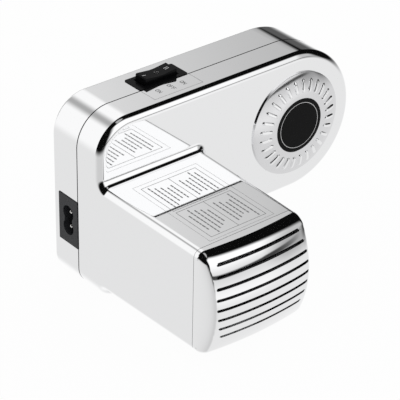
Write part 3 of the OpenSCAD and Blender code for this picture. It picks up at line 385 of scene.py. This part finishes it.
CARRIED = {
    "switch_terminals": BRASS, "inlet_pins": STEEL, "inlet_terminals": BRASS, "gear_plate": ZINC,
    "plate_screws": STEEL, "drive_bracket": ALLOY, "brush_bracket": ALLOY, "bracket_screws": STEEL,
    "motor_screws": STEEL, "motor_bearings": STEEL, "stator_core": LAMIN, "field_coils": COPPER,
    "brush_holders": BRASS, "carbon_brushes": CARBON, "motor_shaft": STEEL, "armature_core": LAMIN,
    "armature_winding": COPPER, "commutator": COPPER, "cooling_fan": FAN, "motor_pinion": BRASS,
    "first_gear": NYLON, "second_gear": STEEL, "gear_axles": STEEL, "output_gear": STEEL,
    "output_shaft": STEEL, "output_bushes": BRONZE, "retaining_ring": STEEL, "coupling_hub": ALLOY,
    "hub_screws": STEEL, "safety_plunger": RED, "plunger_spring": STEEL, "spring_retainer": STEEL,
    "safety_switch": BLACK_MATT, "case_screws": STEEL, "rubber_feet": RUBBER,
    "switch_frame": BLACK, "inlet_body": INLET, "badge_disc": DISC, "switch_rocker": BLACK,
    "front_shell": CHROME, "rear_shell": CHROME, "grille_cap": CHROME, "badge_ring": CHROME,
}
for nm, o in NODES.items():
    m = CARRIED.get(nm, BLACK_MATT)
    if not o.material_slots:
        o.data.materials.append(m)
    for s in o.material_slots:
        s.material = m

# ---- rear shell ------------------------------------------------------------
CUT_X = (SW_X - SW_CUT, SW_X + SW_CUT)
CUT_Z = (IN_Z - IN_CUT, IN_Z + IN_CUT)
OUT = outline(CUT_X, CUT_Z)


def fillet_rows(r, edge, sign, steps=8):
    """Profile rows of a rounded edge: edge is the flat face's depth, sign points out of it."""
    rows = []
    for k in range(steps + 1):
        a = math.radians(90 * k / steps)
        c, s = math.cos(a), math.sin(a)
        rows.append((r - r * c, edge - sign * (r - r * s), c, sign * s))
    return rows


def in_span(a, b, span):
    return min(a, b) >= span[0] - 1e-6 and max(a, b) <= span[1] + 1e-6


def cut_rear(p, q, a, b):
    """True for the faces that the switch and the inlet take out of the wall."""
    depth = min(a[1], b[1]) + 0.05
    top = p[1] == END_R == q[1] and in_span(p[0], q[0], CUT_X)
    side = p[0] == LEFT == q[0] and in_span(p[1], q[1], CUT_Z)
    return (top and depth >= SW_CUT_FROM) or (side and depth >= IN_CUT_FROM)


rows = [(0, SEAM - GAP, 1, 0), (0, SW_CUT_FROM, 1, 0), (0, IN_CUT_FROM, 1, 0)]
parts = [sweep(OUT, rows + fillet_rows(REAR_R, 0.0, -1), cut_rear)]
face = [(p[0] - s[0] * REAR_R, p[1] - s[1] * REAR_R) for p, _, s in OUT]
face = [p for i, p in enumerate(face) if p != face[i - 1]]
holes = [circle(0, 0, COLLAR_HOLE, 72), circle(*PLUNGER_AT, PLUNGER_HOLE, 24)]
holes += [circle(*c, CASE_HOLE, 32) for c in CASE_AT] + [circle(*c, HUB_HOLE, 24) for c in HUB_AT]
parts.append(plate([face] + holes, 0.0, -1))
parts.append(lathe(0, 0, [(COLLAR_HOLE, 0, -1, 0), (COLLAR_HOLE, WALL, -1, 0)], 72))
for c in CASE_AT:
    rows = [(CASE_HOLE, 0, -1, 0), (CASE_HOLE, CASE_SINK, -1, 0),
            (CASE_HOLE, CASE_SINK, 0, -1), (CASE_SHANK, CASE_SINK, 0, -1)]
    parts.append(lathe(*c, rows, 32))
for c in HUB_AT:
    parts.append(lathe(*c, [(HUB_HOLE, 0, -1, 0), (HUB_HOLE, WALL, -1, 0)], 24))
V, N, F = join_parts(parts)
rear = make("rear_shell_skin", V, F, CHROME, N)
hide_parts("rear_shell")

# the thin shadow in the joint between the two shells
V, N, F = sweep(OUT, [(0.5, SEAM + 1.2, 1, 0), (0.5, SEAM - 1.2, 1, 0)],
                lambda p, q, a, b: cut_rear(p, q, (0, SEAM), (0, SEAM)))
seam = make("case_joint", V, F, JOINT, N)


# ---- front shell -----------------------------------------------------------
def r_inter(a, b, r):
    """What two forms share, with a round of radius r along the edge."""
    qa, qb = a + r, b + r
    return np.minimum(np.maximum(qa, qb), 0) + np.hypot(np.maximum(qa, 0), np.maximum(qb, 0)) - r


def r_union(a, b, r):
    """Two forms together, with a hollow round of radius r where they meet."""
    return np.maximum(r, np.minimum(a, b)) - np.hypot(np.maximum(r - a, 0), np.maximum(r - b, 0))


def smooth(a, b, t):
    t = np.clip((t - a) / (b - a), 0, 1)
    return t * t * (3 - 2 * t)


def casing_2d(x, z):
    """Distance to the casing's outline, negative inside."""
    arm = np.maximum(LEFT - x, np.abs(z) - END_R)
    arm = np.where(x > 0, np.hypot(x, z) - END_R, arm)
    cx, cz = LEFT + TOP_R, END_R - TOP_R
    arm = np.where((x < cx) & (z > cz), np.hypot(x - cx, z - cz) - TOP_R, arm)
    leg = np.maximum(np.maximum(LEFT - x, x - LEG_R), np.maximum(-BASE - z, z - 20))
    lx, rx, cz = LEFT + BASE_R, LEG_R - BASE_R, BASE_R - BASE
    leg = np.where((x < lx) & (z < cz), np.hypot(x - LEFT - BASE_R, z - cz) - BASE_R, leg)
    leg = np.where((x > rx) & (z < cz), np.hypot(x - LEG_R + BASE_R, z - cz) - BASE_R, leg)
    return np.minimum(arm, leg)


BLEND_FROM, BLEND_OVER = 35.5, 5       # depths over which the box grows out of the casing
FOOT_TOP = -44.8                       # below this the leg's right wall runs straight into the box


def front_form(x, d, z):
    """Distance to the front shell: the casing's rounded front with the drafted motor box."""
    t = np.maximum(d - FRONT, 0) * DRAFT
    hx, hz = BOX_W / 2 - t, BOX_H / 2 - t
    side = np.abs(z - MZ) - hz
    right, left = x - (MX + hx), (MX - hx) - x
    a, fp = casing_2d(x, z), d - FRONT
    box = r_inter(right, side, BOX_R)
    rj = JOIN_MIN + (JOIN_R - JOIN_MIN) * smooth(BLEND_FROM, FRONT, d)
    right_zone = r_union(r_inter(a, fp, EDGE_R), box, rj)
    foot = (z < FOOT_TOP) & (x < LEG_R + 3)
    right_zone = np.where(foot, np.maximum(right_zone, right), right_zone)
    w = smooth(FRONT, FRONT + BLEND_OVER, d)
    left_zone = r_inter(a * (1 - w) + left * w, r_union(fp, side, JOIN_R), EDGE_R)
    return np.where(x < LEFT + 25, left_zone, right_zone)


SEAM_STEP, CAP_STEP, CAP_GAP = 0.35, 0.5, 0.12


def snap_ends(V, g):
    """Keeps the shell's two open edges flat, at the joint and at the cap."""
    a = V[:, 1] < SEAM + SEAM_STEP
    V[a, 1] = SEAM + GAP
    g[a, 1] = 0
    b = V[:, 1] > CAP_AT - CAP_STEP
    V[b, 1] = CAP_AT - CAP_GAP
    g[b, 1] = 0
    return V, g


# the grid is fine where an edge is rounded and coarse across flat walls
fine = 1.0
xs = spaced((LEFT - 1, .55 * fine), (LEFT + 6, 1.6 * fine), (LEG_R - 6, .7 * fine),
            (LEG_R + 6, 1.6 * fine), (-20, 1.2 * fine), (42,))
zs = spaced((-63, .55 * fine), (-50, 1.0 * fine), (-42, .6 * fine), (-35, 1.4 * fine),
            (1, .5 * fine), (12.6, 1.3 * fine), (34, .55 * fine), (42,))
ds = spaced((SEAM + SEAM_STEP, 3), (34, .5 * fine), (44.5, 3), (CAP_AT - CAP_STEP,))
ds = np.concatenate([[SEAM - SEAM_STEP], ds, [CAP_AT + 0.25]])
V, N, F = surface_nets(front_form, xs, ds, zs, snap_ends)
front = make("front_shell_skin", V, F.tolist(), CHROME, N)
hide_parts("front_shell")


def box_loop(inset, r, half=(ex, ez), n=8):
    """A rounded rectangle inside the motor box's wall: (point, normal) pairs."""
    hx, hz, P = half[0] - inset, half[1] - inset, []
    for c, (sx, sz) in enumerate(((1, 1), (-1, 1), (-1, -1), (1, -1))):
        for k in range(n + 1):
            a = math.radians(90 * c + 90 * k / n)
            q = (math.cos(a), math.sin(a))
            P.append(((MX + sx * (hx - r) + r * q[0], MZ + sz * (hz - r) + r * q[1]), q))
    return P


def loft(loops, flip=1):
    """Skin between (loop, depth) pairs, each a box_loop."""
    n, V, N, F = len(loops[0][0]), [], [], []
    for lp, d in loops:
        for p, q in lp:
            V.append((p[0], d, p[1]))
            N.append((flip * q[0], 0, flip * q[1]))
    for i in range(len(loops) - 1):
        for j in range(n):
            k = (j + 1) % n
            F.append((i * n + j, i * n + k, (i + 1) * n + k, (i + 1) * n + j))
    return V, N, F


V, N, F = loft([(box_loop(WALL, 3, (BOX_W / 2, BOX_H / 2)), FRONT - WALL),
                (box_loop(WALL, 3), CAP_AT - 1)], -1)
sleeve = make("motor_box_inside", V, F, CHROME_IN, N)
V, N, F = loft([(box_loop(0.5, 3.5), CAP_AT - 1.4), (box_loop(0.5, 3.5), CAP_AT + 1.0)])
lip = make("cap_joint", V, F, JOINT, N)


# ---- grille cap ------------------------------------------------------------
def cap_height(x, z):
    """A straight side, a round edge, and a face that swells to its middle."""
    ix, iz = ex - np.abs(x), ez - np.abs(z)
    v = np.clip(1 - iz / CAP_EDGE, 0, 1)
    u = np.clip(1 - ix / (CAP_EDGE / 2 + (BOX_R - CAP_EDGE / 2) * smooth(0, 1, v)), 0, 1)
    crown = CAP_CROWN * (1 - np.minimum(1, np.abs(x / ex)) ** CROWN_POWER)
    rise = BULGE - CAP_SIDE - CAP_CROWN - CAP_EDGE
    swell = CAP_EDGE + rise * np.maximum(0, 1 - (z / ez) ** 2) ** FULL_Z
    across = np.maximum(0, 1 - np.abs(x / ex) ** FULL_X) ** ACROSS_POWER
    return CAP_SIDE + crown + swell * np.sqrt(np.clip(1 - u * u - v * v, 0, 1)) * across


def cap_normal(x, z, e=0.003):
    hx = (cap_height(x + e, z) - cap_height(x - e, z)) / (2 * e)
    hz = (cap_height(x, z + e) - cap_height(x, z - e)) / (2 * e)
    return np.stack([-hx, np.ones_like(hx), -hz], -1)


def slot_half(z):
    return SLOT_LEN / 2 * np.sqrt(1 - ((z - LIFT) / (2 * ez * SLOT_REACH)) ** 2)


# The cap is a grid of rows along the slots. Each slot takes two bands of rows, and the grid's
# columns follow its half-round ends: straight part, slot end, and on to the cap's side.
slot_z = [LIFT + (k - (SLOTS - 1) / 2) * PITCH for k in range(SLOTS)]
low = math.asin((-slot_z[0] + SLOT_R) / ez)
row_z = list(-ez * np.sin(np.linspace(math.pi / 2, low, 23)))[:-1]
for i, c in enumerate(slot_z):
    row_z += [c - SLOT_R, c, c + SLOT_R]
    if i < SLOTS - 1:
        row_z += list(np.linspace(c + SLOT_R, slot_z[i + 1] - SLOT_R, 6)[1:-1])
top = math.asin((slot_z[-1] + SLOT_R) / ez)
row_z += list(ez * np.sin(np.linspace(top, math.pi / 2, 15)))[1:]
row_z = np.array(row_z)
STRAIGHT = 24
ends = [0, .12, .3, .5, .7, .88, 1.0]
cols = [("in", s) for s in np.linspace(0, 1, STRAIGHT + 1)[:-1]] + [("end", e) for e in ends]
cols += [("out", s) for s in np.sin(np.linspace(0, math.pi / 2, 11))[1:]]
FADE = 1.2                              # how far past a slot the rows are still bent by it
GX, GZ = [], []
for zl in row_z:
    L = slot_half(np.clip(zl, LIFT - 21, LIFT + 21))
    near = min(slot_z, key=lambda c: abs(c - zl))
    off = zl - near
    rowx, rowz = [], []
    for kind, s in cols:
        if kind == "in":
            x, f = s * (L - SLOT_R), 1.0
        elif kind == "end":
            x, f = L - SLOT_R + SLOT_R * s, math.sqrt(max(0, 1 - s * s))
        else:
            x, f = L + (ex - L) * s, 0.0
        zz = zl
        if kind != "in":
            fade = 1.0 if kind == "end" else max(0.0, 1 - (x - L) / FADE)
            if abs(off) <= SLOT_R + 1e-6:
                zz = near + off * (1 - fade * (1 - f))
            elif abs(off) < PITCH / 2:
                r = SLOT_R * (1 - (1 - f) * fade)
                past = zl - (near + math.copysign(SLOT_R, off))
                zz = near + math.copysign(r, off) + past * (PITCH / 2 - r) / (PITCH / 2 - SLOT_R)
        rowx.append(x)
        rowz.append(zz)
    GX.append([-v for v in rowx[:0:-1]] + rowx)
    GZ.append(rowz[:0:-1] + rowz)
GX, GZ = np.array(GX), np.array(GZ)
# square corners of the grid are drawn in onto the rounded outline
cx, cz = np.abs(GX) - (ex - BOX_R), np.abs(GZ) - (ez - BOX_R)
corner = (cx > 0) & (cz > 0)
big, ln = np.maximum(cx, cz), np.maximum(np.hypot(cx, cz), 1e-9)
GX = np.where(corner, np.sign(GX) * (ex - BOX_R + cx / ln * big), GX)
GZ = np.where(corner, np.sign(GZ) * (ez - BOX_R + cz / ln * big), GZ)
H = cap_height(GX, GZ)
NRM = cap_normal(GX * 0.9997, GZ * 0.9997).reshape(-1, 3)
nr, nc = GX.shape
idx = np.arange(nr * nc).reshape(nr, nc)
first = len(cols) - 1 - (STRAIGHT + len(ends) - 1)
last = len(cols) - 1 + (STRAIGHT + len(ends) - 1)
slot_rows = [int(np.argmin(np.abs(row_z - (c - SLOT_R)))) for c in slot_z]
cap_faces = [(idx[i, j], idx[i, j + 1], idx[i + 1, j + 1], idx[i + 1, j])
             for i in range(nr - 1) for j in range(nc - 1)
             if not (first <= j < last and any(r <= i < r + 2 for r in slot_rows))]
V = np.stack([GX + MX, H + CAP_AT, GZ + MZ], -1).reshape(-1, 3)
parts = [(V, NRM, cap_faces)]
# the cap's rim down to the joint
ring = [idx[0, j] for j in range(nc)] + [idx[i, nc - 1] for i in range(1, nr)]
ring += [idx[nr - 1, j] for j in range(nc - 2, -1, -1)] + [idx[i, 0] for i in range(nr - 2, 0, -1)]


def wall(pairs):
    """A closed band of faces between pairs of points: (top, bottom, normal) of each."""
    v, n = [p for a, b, _ in pairs for p in (a, b)], [q for _, _, q in pairs for _ in (0, 1)]
    count = len(pairs)
    nxt = [(k + 1) % count for k in range(count)]
    return v, n, [(2 * k, 2 * j, 2 * j + 1, 2 * k + 1) for k, j in enumerate(nxt)]


rim = []
for q in ring:
    x, y, z = V[q]
    dx, dz = x - MX, z - MZ
    qx, qz = max(0, abs(dx) - (ex - BOX_R)), max(0, abs(dz) - (ez - BOX_R))
    if qx > 0 and qz > 0:
        n = (math.copysign(qx, dx), 0, math.copysign(qz, dz))
    elif ex - abs(dx) < ez - abs(dz):
        n = (math.copysign(1, dx), 0, 0)
    else:
        n = (0, 0, math.copysign(1, dz))
    rim.append(((x, y, z), (x, CAP_AT + CAP_GAP, z), n))
parts.append(wall(rim))
for c, r0 in zip(slot_z, slot_rows):
    loop = [idx[r0, j] for j in range(first, last + 1)]
    loop += [idx[r0 + 2, j] for j in range(last - 1, first, -1)]
    half, side = float(slot_half(c)) - SLOT_R, []
    for q in loop:
        x, y, z = V[q]
        n = (min(max(x - MX, -half), half) + MX - x, 0, c + MZ - z)
        if abs(n[0]) + abs(n[2]) < 1e-6:
            n = (0, 0, 1)
        side.append(((x, y, z), (x, y - WALL, z), n))
    parts.append(wall(side))
V, N, F = join_parts(parts)
cap = make("grille_cap_skin", V, F, CHROME, N)
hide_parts("grille_cap")
# the grille's inner face, a wall's thickness inside, drawn near black in the joint-shadow
# material: painted shade seen through the slots
INNER, INNER_DROP = 0.93, 2.6
GX2, GZ2 = GX * INNER, GZ * INNER
H2 = cap_height(GX2 / INNER, GZ2 / INNER) - INNER_DROP
V = np.stack([GX2 + MX, H2 + CAP_AT, GZ2 + MZ], -1).reshape(-1, 3)
back = make("grille_cap_inside_painted_shade", V, cap_faces, JOINT, -NRM)


# ---- badge -----------------------------------------------------------------
def dome(r):
    """Height of the badge's domed ring above the casing at radius r."""
    s = min(max((BADGE_R - r) / (BADGE_R - DISC_R), 0), 1)
    return RIM_H + (BADGE_H - RIM_H) * math.sin(math.pi / 2 * s) ** 0.9


rows = [(BADGE_R + 0.05, FRONT - 0.05, 1, 0), (BADGE_R, FRONT + RIM_H - RIM_R, 1, 0)]
for k in range(1, 5):
    a = math.radians(90 * k / 5)
    c, s = math.cos(a), math.sin(a)
    rows.append((BADGE_R - RIM_R + RIM_R * c, FRONT + RIM_H - RIM_R + RIM_R * s, c, s))
for k in range(41):
    r = BADGE_R - RIM_R - (BADGE_R - RIM_R - DISC_R - 0.35) * k / 40
    slope = -(dome(r + 0.02) - dome(r - 0.02)) / 0.04
    rows.append((r, FRONT + dome(r), slope, 1))
for k in range(5):
    a = math.radians(90 * k / 4)
    c, s = math.cos(a), math.sin(a)
    rows.append((DISC_R + LIP_R - LIP_R * s, FRONT + BADGE_H - LIP_R + LIP_R * c, -s, c))
rows.append((DISC_R, FRONT + BADGE_H - DISC_T, -1, 0))
V, N, F = lathe(0, 0, rows, 180)
ring = make("badge_ring_skin", V, F, BADGE_SHADED_CHROME, N)
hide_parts("badge_ring")

# plain raised ribs round the ring, each a small grid with rounded shoulders
RIB_N = 13
parts = []
for k in range(RIBS):
    a0 = 2 * math.pi * (k + 0.5) / RIBS
    P = np.zeros((RIB_N, RIB_N, 3))
    for i in range(RIB_N):
        for j in range(RIB_N):
            u, v = -1 + 2 * i / (RIB_N - 1), -1 + 2 * j / (RIB_N - 1)
            tip = math.sqrt(max(0, 1 - abs(v) ** 6))
            r = RIB_AT + RIB_LEN * v
            a = a0 + RIB_W * tip * u / r
            h = RIB_H * (1 - abs(u) ** 5) * tip - 0.03
            P[i, j] = (r * math.cos(a), FRONT + dome(r) + h, r * math.sin(a))
    nrm = np.cross(np.gradient(P, axis=0), np.gradient(P, axis=1))
    nrm *= np.where(nrm[..., 1:2] < 0, -1, 1)
    F = [(i * RIB_N + j, i * RIB_N + j + 1, (i + 1) * RIB_N + j + 1, (i + 1) * RIB_N + j)
         for i in range(RIB_N - 1) for j in range(RIB_N - 1)]
    parts.append((P.reshape(-1, 3), nrm.reshape(-1, 3), F))
V, N, F = join_parts(parts)
ribs = make("badge_ribs", V, F, CHROME, N)
on_disc = FRONT + BADGE_H + 0.02
V, N, F = lathe(0, 0, [(13.3, on_disc, 0, 1), (13.0, on_disc, 0, 1)], 120)
line = make("badge_line", V, F, PRINT_W, N)

# ---- rounded tips of the inlet's pins --------------------------------------
V, N, F, M = [], [], [], 28
for cz in (IN_Z - PIN_APART / 2, IN_Z + PIN_APART / 2):
    b = len(V)
    rows = [(PIN_R, PIN_FROM, 0)] + [(PIN_R * math.cos(a), PIN_TIP - PIN_R * math.sin(a), a)
                                     for a in np.linspace(0, math.pi / 2 - 0.02, 10)]
    for r, x, a in rows:
        for k in range(M):
            t = 2 * math.pi * k / M
            V.append((LEFT + x, IN_D + r * math.cos(t), cz + r * math.sin(t)))
            N.append((-math.sin(a), math.cos(a) * math.cos(t), math.cos(a) * math.sin(t)))
    for i in range(len(rows) - 1):
        s = b + M * i
        F += [(s + k, s + (k + 1) % M, s + M + (k + 1) % M, s + M + k) for k in range(M)]
    F.append(tuple(b + M * (len(rows) - 1) + k for k in range(M)))
tips = make("pin_tips", V, F, NICKEL, N)

# ---- plunger spring, as its own copy of the mesh on the housing -------------
spring = link(bpy.data.objects.new("spring_coil", NODES["plunger_spring"].data.copy()))
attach(spring, "housing")
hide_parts("plunger_spring")
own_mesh(spring)


# ---- print -----------------------------------------------------------------
def ink(name, lines, place, mat, w, body="housing"):
    """Thin printed lines: lists of (u, v) points, put on a surface by place(u, v)."""
    V, F = [], []
    for pts in lines:
        for (u0, v0), (u1, v1) in zip(pts, pts[1:]):
            ln = math.hypot(u1 - u0, v1 - v0)
            a, b = (u1 - u0) / ln * w / 2, (v1 - v0) / ln * w / 2
            F.append(tuple(range(len(V), len(V) + 4)))
            V += [place(*q) for q in ((u0 - a - b, v0 - b + a), (u0 - a + b, v0 - b - a),
                                      (u1 + a + b, v1 + b - a), (u1 + a - b, v1 + b + a))]
    o = make(name, V, F, mat, [(0, 0, 1)] * len(V), smooth=False, body=body)


def ring_of(u, v, a, b, n):
    """A closed ellipse of n strokes."""
    return [(u + a * math.cos(2 * math.pi * k / n), v + b * math.sin(2 * math.pi * k / n))
            for k in range(n + 1)]


def rect(u0, v0, u1, v1):
    return [(u0, v0), (u1, v0), (u1, v1), (u0, v1), (u0, v0)]


def letters(word, u, v):
    """Plain stroke capitals 2.2 mm high, centred on (u, v)."""
    h = 2.2
    step, wd, out = h * 0.95, h * 0.68, []
    for k, c in enumerate(word):
        x, y = u + (k - (len(word) - 1) / 2) * step - wd / 2, v - h / 2
        out += {"O": [ring_of(x + wd / 2, y + h / 2, wd / 2, h / 2, 14)],
                "N": [[(x, y), (x, y + h), (x + wd, y), (x + wd, y + h)]],
                "F": [[(x, y), (x, y + h), (x + wd, y + h)],
                      [(x, y + h / 2), (x + wd * 0.8, y + h / 2)]]}[c]
    return out


# on the casing's top and on the motor box, u is the depth and v is x
def on_top(u, v):
    return v, u, END_R + 0.02


def on_box(u, v):
    return v, u, MZ + BOX_H / 2 - DRAFT * (u - FRONT) + 0.025


# on the rocker, u and v are measured from its middle, and its two ends rise a little
def on_rocker(u, v):
    return SW_X + v, SW_D + u, PIVOT + 4.72 + max(0.54, abs(v) - 1.5) / 9


words = letters("ON", 26.3, -82.7) + letters("OFF", 26.6, -74.7) + letters("ON", 26.6, -67.0)
ink("switch_words", words, on_top, PRINT_K, 0.28)
border = [(21.4, -90), (32.4, -90), (32.4, -58.6), (21.4, -58.6)]
ink("switch_border", [border], on_top, PRINT_G, 0.2)
marks = [[(0, -9.0), (0, -7.0)], ring_of(0, -0.1, 1.3, 1.1, 20),
         [(-0.55, 5.3), (-0.55, 7.5)], [(0.75, 5.3), (0.75, 7.5)]]
ink("rocker_marks", marks, on_rocker, PRINT_W, 0.38, body="rocker")

# ruled panel on the motor box: plain frames, and rows of dashes where the photograph has print
D0, D1, D2, D3, X0, X1, X2 = 52.6, 78.4, 80.2, 107.2, -114.7, -97.4, -80.0
frames = [rect(D0, X0, D1, X2), rect(D2, X0, D3, X2), [(D0, X1), (D1, X1)], [(D2, X1), (D3, X1)]]
ink("panel_frames", frames, on_box, PRINT_G, 0.26)
ink("panel_outline", [rect(D0 - 3, X0 - 3, D3 + 2.6, X2 + 3)], on_box, PRINT_G, 0.12)
ROW_FIRST, ROW_STEP, ROWS = 3.2, 2.75, 5
ROW_WIDTHS, DASHES, DASH_GAP = (0.86, 0.6, 0.52, 0.7, 0.45), (1.5, 0.9, 1.9, 1.2), 1.15
dashes = []
for n, (a, b, x) in enumerate(((D0, D1, X0), (D0, D1, X1), (D2, D3, X0), (D2, D3, X1))):
    for k in range(ROWS):
        half = (b - a) / 2 * ROW_WIDTHS[(k * 3 + n) % 5]
        row, u, end, i = x + ROW_FIRST + ROW_STEP * k, (a + b) / 2 - half, (a + b) / 2 + half, 0
        while u < end:
            dash = DASHES[(i + k + n) % 4]
            dashes.append([(u, row), (min(u + dash, end + 0.4), row)])
            u += dash + DASH_GAP
            i += 1
ink("panel_rows", dashes, on_box, PRINT_G, 0.75)

# ---- camera ----------------------------------------------------------------
# fitted to the photograph: angles, a focal length in pixels of a 400-pixel picture, and the
# point that it looks at from one metre away
CAM_AZ, CAM_EL, CAM_ROLL = math.radians(40.19), math.radians(31.11), math.radians(-1.11)
FOCAL, PICTURE, SENSOR, DISTANCE = 1962, 400, 36, 1.0
TARGET = Vector((-0.0799, -0.0570, -0.0104))
level = Vector((math.cos(CAM_AZ), -math.sin(CAM_AZ), 0))
back_ = Vector((-math.sin(CAM_AZ) * math.cos(CAM_EL), -math.cos(CAM_AZ) * math.cos(CAM_EL),
                math.sin(CAM_EL)))
upright = back_.cross(level)
right_ = level * math.cos(CAM_ROLL) - upright * math.sin(CAM_ROLL)
up_ = level * math.sin(CAM_ROLL) + upright * math.cos(CAM_ROLL)
cam_data = bpy.data.cameras.new("camera")
cam_data.sensor_width = SENSOR
cam_data.lens = FOCAL / PICTURE * SENSOR
cam_data.clip_start, cam_data.clip_end = 0.05, 50
cam = link(bpy.data.objects.new("camera", cam_data))
pos = TARGET + back_ * DISTANCE
cam.matrix_world = Matrix(((right_.x, up_.x, back_.x, pos.x), (right_.y, up_.y, back_.y, pos.y),
                           (right_.z, up_.z, back_.z, pos.z), (0, 0, 0, 1)))
bpy.context.scene.camera = cam

# ---- floor, world and light ------------------------------------------------
FLOOR_SIZE, FLOOR_DROP, FLOOR_COLOR, FLOOR_WHITE = 4, 0.0002, (0.9, 0.9, 0.9, 1), 0.96
me = bpy.data.meshes.new("floor")
me.from_pydata([(x * FLOOR_SIZE, y * FLOOR_SIZE, 0)
                for x, y in ((-1, -1), (1, -1), (1, 1), (-1, 1))], [], [(0, 1, 2, 3)])
floor = link(bpy.data.objects.new("floor", me))
floor.location.z = -BASE * MM - FLOOR_DROP
fm = bpy.data.materials.new("pale_floor")
fm.use_nodes = True
nt = fm.node_tree
nt.nodes.clear()


def node(kind, **kw):
    """A new node in the tree nt."""
    n = nt.nodes.new(kind)
    for k, v in kw.items():
        setattr(n, k, v)
    return n


def put(sock, v):
    if isinstance(v, bpy.types.NodeSocket):
        nt.links.new(v, sock)
    else:
        sock.default_value = v


def math_(op, a, b):
    n = node("ShaderNodeMath", operation=op)
    put(n.inputs[0], a)
    put(n.inputs[1], b)
    return n.outputs[0]


# the camera sees the floor nearly white, and it keeps the object's shadow
mix = node("ShaderNodeMixShader")
dif = node("ShaderNodeBsdfDiffuse")
emi = node("ShaderNodeEmission")
put(dif.inputs["Color"], FLOOR_COLOR)
put(emi.inputs["Color"], (1, 1, 1, 1))
seen = node("ShaderNodeLightPath").outputs["Is Camera Ray"]
put(mix.inputs[0], math_("MULTIPLY", seen, FLOOR_WHITE))
put(mix.inputs[1], dif.outputs[0])
put(mix.inputs[2], emi.outputs[0])
put(node("ShaderNodeOutputMaterial").inputs["Surface"], mix.outputs[0])
floor.data.materials.append(fm)
floor.visible_glossy = False

world = bpy.data.worlds.new("studio")
bpy.context.scene.world = world
world.use_nodes = True
nt = world.node_tree
nt.nodes.clear()
DIR = node("ShaderNodeTexCoord").outputs["Generated"]


def dot(v):
    n = node("ShaderNodeVectorMath", operation="DOT_PRODUCT")
    put(n.inputs[0], DIR)
    n.inputs[1].default_value = v
    return n.outputs["Value"]


def ramp(x, lo, hi):
    """0 at lo, 1 at hi, smooth between them."""
    n = node("ShaderNodeMapRange", interpolation_type="SMOOTHSTEP", clamp=True)
    put(n.inputs["Value"], x)
    n.inputs["From Min"].default_value, n.inputs["From Max"].default_value = lo, hi
    return n.outputs["Result"]


def mix_to(base, level, mask):
    """base * (1 - mask) + level * mask"""
    inv = math_("SUBTRACT", 1.0, mask)
    return math_("ADD", math_("MULTIPLY", base, inv), math_("MULTIPLY", mask, level))


def mul(*a):
    out = a[0]
    for b in a[1:]:
        out = math_("MULTIPLY", out, b)
    return out


# The studio as polished metal sees it, by direction: pale panels behind and in front, a dark
# gap overhead between them that comes down to the horizon at both sides, and a pale table.
DX, DY, DZ = dot((1, 0, 0)), dot((0, 1, 0)), dot((0, 0, 1))
WHITE, PALE, DARK = 0.98, 0.42, 0.003
# behind: brightest in the middle, grey to the right and then dark, with a greyer strip
behind = mix_to(0.0, mix_to(0.44, WHITE, ramp(DX, 0.67, 0.39)), ramp(DX, 0.71, 0.655))
behind = mix_to(behind, PALE, mul(ramp(DX, -0.40, -0.16), ramp(DX, 0.14, -0.12)))
low_strip = mul(ramp(DZ, 0.27, 0.17), ramp(DZ, -0.14, -0.03), ramp(DX, -0.46, -0.32))
behind = mix_to(behind, 0.10, low_strip)
# in front: bright above, a little less near the horizon, greyer and then dark to the right
ahead = mix_to(0.72, 1.04, ramp(DZ, 0.02, 0.28))
ahead_right = mix_to(0.0, mix_to(0.52, 1.0, ramp(DX, 0.70, 0.56)), ramp(DX, 0.88, 0.79))
ahead_mask = mul(ramp(DY, -0.27, -0.46), ramp(DX, -0.50, -0.12), ahead_right)
# a small soft light straight above, so that flat chrome isn't black when seen from above
env = mix_to(DARK, PALE, mul(ramp(DZ, 0.955, 0.975), ramp(DX, -0.12, -0.04)))
env = mix_to(env, behind, ramp(DY, 0.565, 0.615))
env = mix_to(env, ahead, ahead_mask)
# the table, paler to the right, to the back and close in front, with a thin dark front edge
table = math_("ADD", 0.62, mul(0.19, ramp(DX, -0.45, 0.25)))
table = math_("ADD", table, mul(0.17, ramp(DY, -0.2, 0.7)))
close = mul(ramp(DY, -0.62, -0.80), ramp(DX, -0.30, -0.02), ramp(DZ, -0.55, -0.30))
table = mix_to(table, 0.97, close)
env = mix_to(env, table, ramp(DZ, 0.03, -0.33))
env = mix_to(env, 0.05, mul(ramp(DZ, -0.01, 0.02), ramp(DZ, 0.09, 0.06), ramp(DY, -0.60, -0.78)))

AMBIENT = 0.85
lp = node("ShaderNodeLightPath")
camray = math_("MAXIMUM", lp.outputs["Is Camera Ray"], lp.outputs["Is Transmission Ray"])
strength = mix_to(mix_to(AMBIENT, env, lp.outputs["Is Glossy Ray"]), 1.0, camray)
bg = node("ShaderNodeBackground")
put(bg.inputs["Color"], (1, 1, 1, 1))
put(bg.inputs["Strength"], strength)
put(node("ShaderNodeOutputWorld").inputs["Surface"], bg.outputs[0])

bpy.context.scene.view_settings.view_transform = "Standard"
